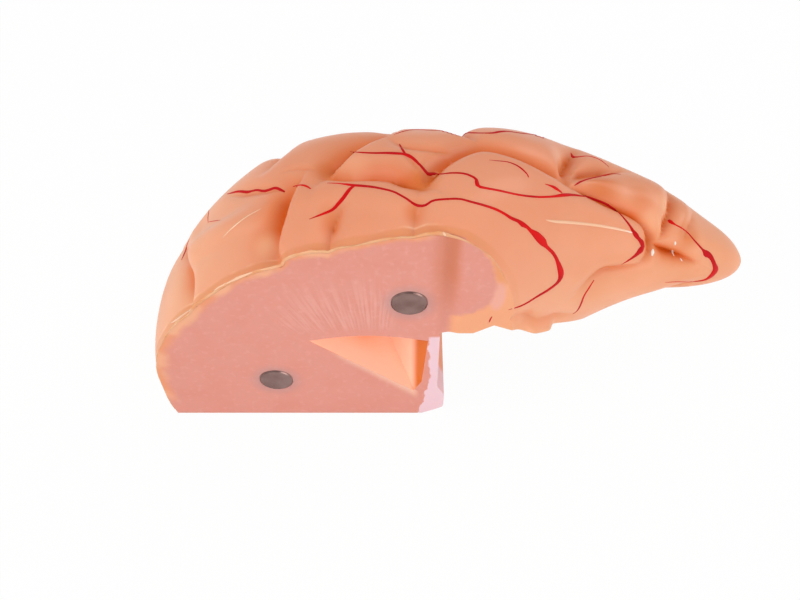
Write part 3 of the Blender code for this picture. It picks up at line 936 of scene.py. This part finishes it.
# %% The cut face
PAINT_EDGE_Y = (CUT_FACE_Y + 0.0001, CUT_FACE_Y + 0.0003)
PAINT_RAGGED = 0.0004
GROOVE_PAINT = (0.0020, 0.0026)
GROOVE_PAINT_Y = (-0.0194, -0.0192)
FIBRE_HUB = (0.0238, 0.0085)
FIBRE_REACH = (0.024, 0.030, 0.034, 0.050)
FIBRE_SPOKES = 46.0
FIBRE_RINGS = 60.0
FIBRE_X = (0.000, 0.009, 0.026, 0.030)
FIBRE_Z = (0.033, 0.038)
GRAIN_SCALE = 650.0
HALO_REACH = (0.0038, 0.0075)
BROW_REACH = (0.00420, 0.00432)
BROW_RISE = (0.0002, 0.0030)
GROOVE_SHADE_RIGHT = (0.0002, 0.0028)
GROOVE_SHADE_LEFT = (0.0002, 0.0060)
GROOVE_SHADE_Z = (0.034, 0.058)
PATCH_MIDDLE = (0.0411, 0.0530)
PATCH_REACH = (0.0092, 0.0126)
PATCH_FROM_X = (0.0400, 0.0425)
PATCH_EDGE = (0.95, 1.08)
OCHRE_EDGE = 1.10
OCHRE_WIDTH = 0.16
OCHRE_Z = (0.042, 0.054)
FLAP_MIDDLE = (0.0511, 0.0482)
FLAP_REACH = (0.0018, 0.0044)
FLAP_EDGE = (0.6, 1.3)
PEACH_WIDTH = 3.4
PEACH_NARROWING = 1.6
PEACH_NARROWS_X = (-0.020, 0.000)
PEACH_TO_X = (0.034, 0.038)
PEACH_FROM_Z = (0.004, 0.010)
LIP_TOWARDS = (-0.684, -0.729)
LIP_BAND = (-0.0006, -0.0004, 0.0, 0.0028)
LIP_X = (0.012, 0.018, 0.033, 0.035)
LIP_Z = (0.030, 0.032)


def cut_face_mask(on):
    """1 on the cut face and in its groove, and 0 on the cortex."""
    front = (on.y + on.ragged * PAINT_RAGGED).falls(*PAINT_EDGE_Y)
    in_groove = abs(on.x - GROOVE_X).falls(*GROOVE_PAINT) * on.y.falls(*GROOVE_PAINT_Y)
    return front.or_more(in_groove)


def fibre_rays(finish, on):
    """Pale rays above the pocket, all from one hub."""
    links = {0: on.z - FIBRE_HUB[1], 1: on.x - FIBRE_HUB[0]}
    turn = finish.node("ShaderNodeMath", {"operation": "ARCTAN2"}, links)
    reach = from_spot(on, FIBRE_HUB)
    links = {0: turn * FIBRE_SPOKES, 1: reach * FIBRE_RINGS}
    spokes_at = finish.node("ShaderNodeCombineXYZ", {}, links)
    streak = finish.noise(spokes_at, 1.0, 3.0).rises(0.40, 0.62)
    near_arch = on.x.spans(*FIBRE_X) * on.z.rises(*FIBRE_Z)
    return streak * reach.spans(*FIBRE_REACH) * near_arch


def pink_paint(finish, on, fibre):
    pink = finish.mix(on.mottle * 0.35, CUT_PINK, CUT_PINK_DEEP)
    grain = finish.noise(on.where, GRAIN_SCALE, 3.0).rises(0.50, 0.75)
    pink = finish.mix(grain * 0.30, pink, FIBRE_PALE)
    pink = finish.mix(fibre * 0.5, pink, FIBRE_PALE)
    for seat in MAGNET_PLACES:
        away = from_spot(on, seat)
        pink = finish.mix(away.falls(*HALO_REACH) * 0.55, pink, MAGNET_HALO)
        brow = away.falls(*BROW_REACH) * (on.z - seat[1]).rises(*BROW_RISE)
        pink = finish.mix(brow * 0.9, pink, SEAT_SHADOW)
    shade = (on.x - GROOVE_X).falls(*GROOVE_SHADE_RIGHT)
    shade = shade * (GROOVE_X - on.x).falls(*GROOVE_SHADE_LEFT) * on.z.rises(*GROOVE_SHADE_Z)
    return finish.mix(shade * 0.75, pink, GROOVE_SHADE)


def bare_patch(finish, on, pink):
    """Right of the groove the paint stops, and a small flap beyond it is pink again."""
    away = from_spot(on, PATCH_MIDDLE, PATCH_REACH)
    bare = (away + on.wavy * 0.50 + on.ragged * 0.16).rises(*PATCH_EDGE)
    edge = abs(away + on.wavy * 0.60 - OCHRE_EDGE).falls(0.0, OCHRE_WIDTH)
    naked = finish.mix(edge * on.z.rises(*OCHRE_Z) * 0.45 + 0.20, CORTEX_CROWN, SEAM_OCHRE)
    flap = (from_spot(on, FLAP_MIDDLE, FLAP_REACH) + on.wavy).falls(*FLAP_EDGE)
    naked = finish.mix(flap * 0.7, naked, FIBRE_PALE)
    return finish.mix(bare * on.x.rises(*PATCH_FROM_X), pink, naked)


def seam_peach(finish, on, pink):
    """Bare vinyl along the trimmed rim, widest at the lobe's end."""
    off_seam = on.seam + on.wavy * 3.0 + on.ragged * 1.4
    wide = PEACH_WIDTH - on.x.rises(*PEACH_NARROWS_X) * PEACH_NARROWING
    peach = (off_seam / wide).falls(0.1, 1.0) * on.z.rises(*PEACH_FROM_Z) * on.x.falls(*PEACH_TO_X)
    tone = finish.mix(on.wavy.rises(-0.05, 0.12) * 0.4, SEAM_PEACH, CREASE_SHADE_AND_OCHRE)
    return finish.mix(peach * 0.9, pink, tone)


def pocket_lip_highlight(finish, on, pink):
    """A pale band below the pocket's sloping lip: a painted highlight that stands for a rounded
    edge.
    """
    across, up = on.x - POCKET_LEFT_X, on.z - POCKET_TOP_Z
    past_lip = across * LIP_TOWARDS[0] + up * LIP_TOWARDS[1]
    # Painted highlight along the lip.
    thin = past_lip.spans(*LIP_BAND) * on.x.spans(*LIP_X) * on.z.falls(*LIP_Z)
    return finish.mix(thin * 0.75, pink, POCKET_FLOOR_LIGHT)


# %% [markdown]
# ## The thin wall and the pocket
# The end of the thin wall and a little of its side are whitish lilac with a ragged edge. In the
# pocket light and shade are painted: its floor is painted pale as light, its right wall a deep
# orange as painted shade, and under the arch it has painted shade. Light goes round in there
# many times, and a little emission stands for what a short render misses.

# %% The thin wall and the pocket
BELOW_ROOF_Z = (0.0325, 0.0335)
STRIP_FROM_X = (0.0366, 0.0370)
STRIP_FLARE_Z = 0.012
STRIP_FLARE = 0.0022
WALL_SIDE_X = (0.0375, 0.0379, 0.0412, 0.0414)
WALL_SIDE_Y = (-0.014, -0.012)
POCKET_X = (0.0080, 0.0084, 0.0378, 0.0380)
POCKET_Y = (CUT_FACE_Y + 0.00005, CUT_FACE_Y + 0.00015, 0.0002, 0.0006)
POCKET_Z = (0.0090, 0.0094, 0.0340, 0.0342)
POCKET_STEEP_X = (0.0325, 0.0345)
UNDER_ARCH_X = (0.0200, 0.0280)
UNDER_ARCH_Y = (-0.0170, -0.0090)
POCKET_GLOW = 0.16


def lilac_strip(on):
    jagged = on.wavy * 0.0030 + on.ragged * 0.0020
    flare = (STRIP_FLARE_Z - on.z).rises(0.0, STRIP_FLARE_Z) * STRIP_FLARE
    return (on.x + jagged + flare).rises(*STRIP_FROM_X) * on.z.falls(*BELOW_ROOF_Z)


def wall_side(on, on_cut):
    side = on.x.spans(*WALL_SIDE_X) * on.z.falls(*BELOW_ROOF_Z)
    return side * (on.y + on.wavy * 0.004).falls(*WALL_SIDE_Y) * (1.0 - on_cut)


def pocket_colour(finish, on, steep):
    # Painted light on the floor, and painted shade on the steep right wall.
    glow = finish.mix(steep, POCKET_FLOOR_LIGHT, POCKET_WALL_SHADE)
    under_arch = on.y.rises(*UNDER_ARCH_Y) * on.x.falls(*UNDER_ARCH_X)
    return finish.mix(under_arch * 0.8, glow, POCKET_ARCH_SHADE)


# %% [markdown]
# ## Vinyl in its colours
# The parts of the finish are laid over each other here, from the cortex to the pocket. Painted
# vinyl is a little duller than bare vinyl, and pores, rays and mottling are felt in the light as
# a very shallow bump.

# %% Vinyl in its colours
PORE_SCALE = 900.0
PORE_HEIGHT = 0.00002
RAY_HEIGHT = 0.00010
MOTTLE_HEIGHT = 0.00003


def vinyl_finish():
    finish = Finish(
        "cortex_vinyl",
        IOR=1.5,
        Subsurface_Weight=0.22,
        Subsurface_Radius=(1.0, 0.45, 0.22),
        Subsurface_Scale=0.004,
        Specular_IOR_Level=0.2,
        Coat_Roughness=0.16,
        Emission_Strength=POCKET_GLOW,
    )
    on = signals_on(finish)
    on_cut = cut_face_mask(on)
    fibre = fibre_rays(finish, on)
    pink = bare_patch(finish, on, pink_paint(finish, on, fibre))
    pink = pocket_lip_highlight(finish, on, seam_peach(finish, on, pink))
    pink = finish.mix(lilac_strip(on), pink, RIM_LILAC)
    colour = finish.mix(on_cut, cortex_colour(finish, on), pink)
    colour = finish.mix(wall_side(on, on_cut), colour, RIM_LILAC)
    in_pocket = on.x.spans(*POCKET_X) * on.y.spans(*POCKET_Y) * on.z.spans(*POCKET_Z)
    steep = on.x.rises(*POCKET_STEEP_X)
    colour = finish.mix(in_pocket, colour, pocket_colour(finish, on, steep))
    # The pocket's floor glows by emission, as painted light.
    lit = finish.mix(in_pocket * (1.0 - steep), UNLIT, POCKET_FLOOR_LIGHT)
    pores = finish.noise(on.where, PORE_SCALE, 2.0) * PORE_HEIGHT
    height = pores + fibre * RAY_HEIGHT + on.mottle * on_cut * MOTTLE_HEIGHT
    finish.drive(
        Base_Color=colour,
        Emission_Color=lit,
        Roughness=on.broad * 0.10 + 0.38 + on_cut * 0.10,
        Coat_Weight=0.10 - on_cut * 0.06,
        Normal=finish.bump(height, 1.0, 0.6),
    )
    return finish.material


casting.data.materials.clear()
casting.data.materials.append(vinyl_finish())
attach(casting, "root")
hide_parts("brain_casting")
print("nodes in the vinyl finish:", len(casting.data.materials[0].node_tree.nodes))

# %% [markdown]
# ## The flash along the seam
# Where the cut face was trimmed, a thin lip of vinyl was left along its outer edge. It follows
# the rim that the flat cut has left, a little thicker here and thinner there, and it catches
# the light as a row of small glints.

# %% The flash along the seam
FLASH_THICKNESS = 0.00020
FLASH_REACH = 0.00045
FLASH_STEP = 0.0007
FLASH_SIDES = 10
FLASH_OVER_FACE = 0.00003
FLASH_OUTSIDE = 0.8
FLASH_END_Z = 0.0015
FLASH_LAST_X = 0.0524
FLASH_TIP = 0.3
FLASH_GROWTH = 0.15
FLASH_THIN_Z = (0.030, 0.042)
FLASH_LOW_SHARE = 0.25
FLASH_THIN_X = (0.0385, 0.0425)
FLASH_RIGHT_LOSS = 0.55
PATCHY_SCALE = 260.0
BROAD_WAVES = 130.0
FINE_WAVES = 520.0
FINEST_WAVES = 1300.0


def seam_path():
    """The rim from the lobe's foot at the left, over its top and down to the groove."""
    lowest = min(range(len(seam_rim)), key=lambda number: seam_rim[number].z)
    ring = seam_rim[lowest:] + seam_rim[:lowest]
    if ring[len(ring) // 8].x > ring[-len(ring) // 8].x:
        ring.reverse()
    path = []
    for place in ring:
        if place.z < FLASH_END_Z or place.x > FLASH_LAST_X:
            if path:
                break
            continue
        if not path or (place - path[-1]).length > FLASH_STEP:
            path.append(place)
    return path


def share_between(value, low, high):
    """0 below low, 1 above high, and straight between them."""
    return min(1.0, max(0.0, (value - low) / (high - low)))


def flash_strength(place, from_end):
    """1 along the lobe's top, and less at the flash's ends, low down and past the groove."""
    strength = min(1.0, FLASH_TIP + FLASH_GROWTH * from_end)
    high = share_between(place.z, *FLASH_THIN_Z)
    strength *= FLASH_LOW_SHARE + (1.0 - FLASH_LOW_SHARE) * high
    return strength * (1.0 - FLASH_RIGHT_LOSS * share_between(place.x, *FLASH_THIN_X))


def sleeve(shape, rings):
    """Skins a row of rings, each a list of places, and closes both ends."""
    last = None
    for places in rings:
        ring = [shape.verts.new(place) for place in places]
        if last is None:
            shape.faces.new(ring)
        else:
            for first in range(len(ring)):
                second = (first + 1) % len(ring)
                shape.faces.new((last[first], last[second], ring[second], ring[first]))
        last = ring
    shape.faces.new(list(reversed(last)))


def flash_tube(path):
    into = Vector((0.0, 1.0, 0.0))
    end = len(path) - 1
    rings = []
    for number, place in enumerate(path):
        along = (path[min(number + 1, end)] - path[max(number - 1, 0)]).normalized()
        inward = along.cross(into)
        broad = noise.noise(place * BROAD_WAVES)
        fine = noise.noise(place * FINE_WAVES) + 0.5 * noise.noise(place * FINEST_WAVES)
        strength = flash_strength(place, min(number, end - number))
        thick = FLASH_THICKNESS * (1.0 + 0.4 * fine) * strength
        reach = FLASH_REACH * (1.0 + 0.9 * broad + 0.35 * fine) * strength
        middle = place + into * (thick - FLASH_OVER_FACE) + inward * reach * FLASH_OUTSIDE
        ring = []
        for side in range(FLASH_SIDES):
            angle = 2.0 * math.pi * side / FLASH_SIDES
            out = inward * math.cos(angle) * reach + into * math.sin(angle) * thick
            ring.append(middle + out)
        rings.append(ring)
    shape = bmesh.new()
    sleeve(shape, rings)
    return outward(shape)


def flash_finish():
    finish = Finish(
        "trimmed_flash",
        IOR=1.5,
        Coat_Roughness=0.10,
        Subsurface_Weight=0.3,
        Subsurface_Radius=(1.0, 0.5, 0.3),
        Subsurface_Scale=0.003,
    )
    where, *_ = finish.place()
    patchy = finish.noise(where, PATCHY_SCALE, 3.0)
    finish.drive(
        Base_Color=finish.mix(patchy.rises(0.35, 0.65), FLASH_ORANGE, FLASH_PALE),
        Roughness=patchy * 0.35 + 0.15,
        Coat_Weight=patchy.rises(0.45, 0.60) * 0.5,
    )
    return finish.material


seam_places = seam_path()
flash = mesh_of("trimmed_flash", flash_tube(seam_places))
flash.data.shade_smooth()
flash.data.materials.append(flash_finish())
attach(flash, "root")
print("flash:", len(seam_places), "places along the seam")

# %% [markdown]
# ## The arteries
# The vessels are painted by hand with a fine brush, so they swell, thin out and end in blobs,
# and the paint stands a little proud. Each one is a chain of brush places in the photograph,
# with the brush's width. A ray from the camera drops every place on the casting, and a thin
# domed ribbon is drawn through them. A texture would blur at this scale, and a ribbon doesn't.

# %% The arteries
BRUSH_STEP = 0.0007
BRUSH_SUBSTEPS = 24
BRUSH_SPREAD = 1.2
BRUSH_LEAST = 0.8
BRUSH_JUMP = 0.0065
BRUSH_TRIES = (0.0, 1.0, 2.0, 3.0, 4.0)
FEWEST_PLACES = 4
PAINT_HEIGHT = 0.00016
PAINT_ROOT = 0.00030
FULL_HEIGHT_FROM = 0.0004
RIBBON_TIP = 0.45
RIBBON_GROWTH = 0.2
WET_SCALE = 90.0
DULL_SCALE = 300.0
RIBBON_SECTION = (
    (-1.0, -1.0), (-1.0, 0.35), (-0.55, 0.85), (0.0, 1.0), (0.55, 0.85), (1.0, 0.35), (1.0, -1.0),
)

ARTERIES = {
    # pixels of the photograph, and the brush's width in pixels
    "upper_left": (
        (227, 194, 1.6), (238, 191.5, 2.0), (247, 192, 2.4), (252, 191, 1.6), (257, 190, 1.8),
        (265, 191, 2.2), (275, 188, 2.2), (281, 190, 3.0), (287, 193, 3.4),
    ),
    "left_crown": ((293, 186.5, 1.4), (301, 185, 2.0), (306, 186, 2.4), (311, 189, 2.6)),
    "left_edge": ((209, 210, 1.4), (208, 217, 1.2), (208, 223, 1.0)),
    "left_hook": ((208, 222, 0.8), (214, 221, 0.8), (221, 220, 0.7)),
    "left_low": ((190, 238, 1.2), (187, 245, 1.4), (185, 252, 1.6), (181, 261, 1.6)),
    "row": (
        (327, 183, 1.6), (340, 183.5, 2.0), (352, 185, 3.0), (369, 186.5, 2.6), (381, 188.5, 2.2),
        (393, 191.5, 2.0), (401, 195.5, 2.0), (407, 199, 2.0), (414, 204, 2.2), (420, 206, 2.4),
        (426, 205, 2.2), (431, 201.5, 2.0), (436, 200, 2.0), (448, 199, 2.0), (460, 199, 2.0),
        (470, 201.5, 2.0), (483, 205, 2.2), (495, 209, 2.4), (504, 213.5, 2.4), (511, 218, 2.8),
        (518, 221, 3.0), (522, 224, 4.4), (527, 227, 3.0), (531, 231, 3.6), (536, 235, 6.4),
        (540, 239, 7.2), (544, 243, 6.6), (546, 246, 3.6), (550, 250, 3.0), (553, 253, 3.0),
        (556, 258, 3.2), (558, 263, 3.8), (560, 269, 5.4), (561, 274, 5.8), (560, 279, 5.0),
        (556, 284, 3.4), (548, 290, 3.0), (538, 296, 2.6), (523, 305, 2.0), (508, 310, 1.2),
    ),
    "row_branch": (
        (356, 184.5, 4.2), (350, 189, 3.6), (344, 197, 3.2), (338, 204, 2.8), (332, 210, 2.4),
        (320, 215, 1.8), (307, 220, 1.0),
    ),
    "second": (
        (350, 151.5, 1.0), (362, 152.5, 1.6), (373, 153, 2.0), (388, 153, 2.6), (403, 154, 3.8),
        (411, 157, 2.8), (416, 161, 2.4), (420, 165, 2.2), (424, 169.5, 2.8), (428, 174, 3.4),
        (434, 173.6, 2.0), (441, 174, 1.8), (450, 173, 1.8), (459, 173, 2.0), (466, 174, 2.2),
        (471, 176, 2.4), (476, 179, 2.6), (477, 184, 4.0), (479, 186.5, 3.0), (488, 188.5, 2.2),
        (499, 190.5, 2.0), (510, 193, 1.8), (520, 195, 1.8), (531, 196.4, 1.8), (542, 197, 1.8),
        (554, 196.4, 2.0), (564, 195, 3.0), (574, 195, 2.2), (587, 197, 1.8), (596, 200, 2.0),
        (605, 203.5, 2.0), (613, 208.5, 2.0), (620, 214, 2.2), (625, 219.5, 2.2), (630, 226, 2.4),
        (633, 231, 3.0), (636, 235, 4.6), (639, 239, 3.0), (642, 243, 5.2), (643, 247, 6.4),
        (640, 251, 6.0), (636, 255, 3.4), (629, 260, 2.0), (620, 265.5, 1.0),
    ),
    "second_twig": ((399.5, 144, 1.6), (401.5, 148, 2.0), (404, 152, 2.6), (406, 155, 2.6)),
    "second_wedge": ((545, 184, 1.2), (551, 186, 2.4), (557, 189, 3.6), (563, 193.5, 3.0)),
    "crown_twig": (
        (489, 160, 0.8), (500, 161, 1.0), (508, 162, 1.2), (516, 165, 1.8), (522, 169, 2.2),
        (527, 174, 2.4), (529, 178, 2.6),
    ),
    "lower_twig": (
        (594, 280, 1.6), (589, 288, 1.4), (584, 296, 1.6), (581, 304, 1.8), (577, 311, 1.6),
        (571, 315, 1.2),
    ),
    "lip_twig": ((492, 316.5, 1.4), (490, 320, 2.0), (489, 323.5, 1.4)),
    "far_edge": (
        (394, 134.5, 1.4), (403, 131.5, 1.8), (413, 129.8, 1.8), (430, 130.2, 1.6),
        (449, 131.2, 1.6), (464, 132.4, 1.8), (479, 133, 1.8), (492, 133, 2.4), (500, 131.6, 3.2),
        (508, 131.4, 2.2), (520, 133, 1.8), (532, 134.4, 1.8), (540, 136, 1.6), (547, 139, 1.2),
    ),
    "far_loop": (
        (571, 153, 2.0), (573, 157, 3.2), (577.5, 157, 2.0), (587, 156, 1.4), (596, 158, 1.6),
        (603, 161.8, 1.4), (610, 168, 1.0),
    ),
    "hook_row": (
        (574.5, 185.5, 1.6), (581, 181.5, 1.8), (590, 178.5, 2.0), (602.5, 176, 2.2),
        (614, 173.8, 2.4), (623, 174.8, 1.4),
    ),
    "pole_arc": (
        (668.5, 220, 4.6), (671, 222, 5.2), (674, 224, 1.8), (678, 226, 1.4), (683, 229, 1.4),
        (688, 233, 1.4), (694, 240, 1.4), (699, 245.5, 1.6), (703, 250, 2.0), (706, 253.5, 5.6),
        (710, 256, 4.4), (713, 261, 3.6), (715, 267, 4.6), (715, 271, 7.2), (711, 276, 6.0),
        (704, 280, 2.8), (690, 281.8, 1.4), (676, 281.8, 0.9), (665, 282.5, 0.7),
    ),
}

first_of_flash = len(casting.data.vertices)
casting_tree = BVHTree.FromPolygons(
    [vertex.co[:] for piece in (casting, flash) for vertex in piece.data.vertices],
    [face.vertices[:] for face in casting.data.polygons]
    + [[first_of_flash + corner for corner in face.vertices] for face in flash.data.polygons],
)


def touch(px, py):
    """Where a brush at a pixel meets the casting, tried a little lower off the outline."""
    for lower in BRUSH_TRIES:
        direction = photo_ray(px, py + lower)
        point, normal, _, distance = casting_tree.ray_cast(CAMERA_PLACE, direction)
        if point is not None:
            return point, normal, distance * direction.dot(FORWARD)
    return None


def brushed_paths(places, step):
    """Chains of points on the casting, with their outward directions and the half widths.

    Where two neighbours lie far apart, the paint runs behind a fold and the chain is broken.
    """
    paths = [[]]
    for px, py, width in course_points(places, BRUSH_SUBSTEPS).tolist():
        met = touch(px, py)
        if met is None:
            continue
        point, normal, distance = met
        if paths[-1] and (point - paths[-1][-1][0]).length > BRUSH_JUMP:
            paths.append([])
        if paths[-1] and (point - paths[-1][-1][0]).length < step:
            continue
        half = 0.5 * BRUSH_SPREAD * max(width, BRUSH_LEAST) / FOCAL_PIXELS * distance
        paths[-1].append((point, normal, half))
    return [path for path in paths if len(path) >= FEWEST_PLACES]


def ribbon(shape, path):
    """Draws a domed ribbon along a path, pointed at both ends and laid on the casting."""
    end = len(path) - 1
    rings = []
    for number, (point, normal, half) in enumerate(path):
        along = path[min(number + 1, end)][0] - path[max(number - 1, 0)][0]
        side = along.cross(normal).normalized()
        half = half * min(1.0, RIBBON_TIP + RIBBON_GROWTH * min(number, end - number))
        high = PAINT_HEIGHT * min(1.0, half / FULL_HEIGHT_FROM)
        ring = []
        for across, lift in RIBBON_SECTION:
            ground, up, _, _ = casting_tree.find_nearest(point + side * across * half)
            rise = lift * high if lift > 0 else lift * PAINT_ROOT
            ring.append(ground + up.lerp(normal, 0.5) * rise)
        rings.append(ring)
    sleeve(shape, rings)


def painted_piece(name, courses, step, material):
    shape = bmesh.new()
    for places in courses.values():
        for path in brushed_paths(places, step):
            ribbon(shape, path)
    piece = mesh_of(name, outward(shape))
    piece.data.shade_smooth()
    piece.data.materials.append(material)
    return piece


def artery_finish():
    finish = Finish("artery_paint", Coat_Roughness=0.12, IOR=1.5, Specular_IOR_Level=0.1)
    where, *_ = finish.place()
    wet = finish.noise(where, WET_SCALE, 2.0).rises(0.45, 0.65)
    finish.drive(
        Base_Color=finish.mix(wet, ARTERY_RED, ARTERY_WET),
        Roughness=finish.noise(where, DULL_SCALE) * 0.2 + 0.35,
        Coat_Weight=wet * 0.1,
    )
    return finish.material


arteries = painted_piece("painted_arteries", ARTERIES, BRUSH_STEP, artery_finish())
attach(arteries, "root")
print("arteries:", len(arteries.data.polygons), "faces")

# %% [markdown]
# ## The painted highlights
# Streaks of highlight along the crowns and the seam, and hard little glints in the deep creases
# near the pole, are painted as fine raised lines. Both are drawn with the brush of the arteries,
# in glossy pale vinyl, and the glints are nearly white.

# %% The painted highlights
HIGHLIGHT_STEP = 0.0003
GLINT_FROM_X = (0.080, 0.084)
HIGHLIGHT_COURSES = {
    # pixels of the photograph, and the line's width in pixels
    "gyrus_highlight": (
        (546, 220, 1.0), (556, 221.5, 2.4), (570, 222.5, 2.6), (586, 224, 2.4), (604, 226.5, 2.2),
        (620, 229.5, 2.0), (634, 233, 1.0),
    ),
    "fan_highlight": ((222, 238, 0.8), (232, 228, 1.6), (246, 217, 1.6), (262, 208, 0.8)),
    "seam_highlight": ((213, 291, 1.0), (224, 284, 2.6), (238, 278, 3.0), (253, 272, 1.4)),
    "end_highlight": ((171, 323, 1.0), (178, 319, 2.6), (186, 313, 2.2), (191, 309, 1.0)),
    "seam_glint": ((443, 231.5, 1.6), (444.5, 234, 2.6), (446, 237, 1.6)),
    "fold_glint": ((653, 249, 2.4), (652.6, 252, 3.4), (652, 256, 2.4)),
    "pit_glint": ((675, 241.5, 1.4), (675.4, 243.5, 2.0), (675, 246, 1.4)),
    "low_glint": ((672, 250, 1.2), (672.6, 253, 2.0), (674, 256, 1.2)),
    "last_glint": ((680, 258, 1.2), (681.5, 260, 1.6), (682.5, 262, 1.2)),
}


def painted_highlight_finish():
    finish = Finish(
        "painted_highlight_gloss", Roughness=0.2, IOR=1.5, Coat_Weight=0.6, Coat_Roughness=0.05
    )
    _, x, *_ = finish.place()
    finish.drive(Base_Color=finish.mix(x.rises(*GLINT_FROM_X), HIGHLIGHT_PALE, GLINT_WHITE))
    return finish.material


# Painted highlights and glints: raised glossy lines, pale, and nearly white near the pole.
painted_highlights = painted_piece("painted_highlights", HIGHLIGHT_COURSES, HIGHLIGHT_STEP, painted_highlight_finish())
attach(painted_highlights, "root")
print("painted highlights:", len(painted_highlights.data.polygons), "faces")

# %% [markdown]
# ## The magnets
# Both discs are plated and a little scuffed: brighter at the chamfer, and cloudy where they
# rub against their partners. Their dark pinkish brown is the plate's colour with a painted
# reflection of their dim surroundings in it. The solids in the frame are already right, so they
# only get a better material.

# %% The magnets
CLOUD_SCALE = 240.0
SCUFF_SCALE = 1400.0
SCUFF_DEPTH = 0.00001


def nickel_finish():
    finish = Finish("nickel_plate", Metallic=1.0)
    where, *_ = finish.place()
    cloud = finish.noise(where, CLOUD_SCALE, 3.0)
    scuff = finish.noise(where, SCUFF_SCALE, 2.0)
    finish.drive(
        # The plate's colour with a painted reflection in it, paler where it is cloudy.
        Base_Color=finish.mix(cloud.rises(0.35, 0.70), NICKEL_AND_REFLECTION, NICKEL_PALE_AND_REFLECTION),
        Roughness=cloud * 0.15 + scuff * 0.08 + 0.18,
        Normal=finish.bump(scuff * SCUFF_DEPTH, 1.0, 0.4),
    )
    return finish.material


plating = nickel_finish()
for magnet in ("magnet_upper", "magnet_lower"):
    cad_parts[magnet].data.materials.clear()
    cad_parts[magnet].data.materials.append(plating)
print("magnets plated")
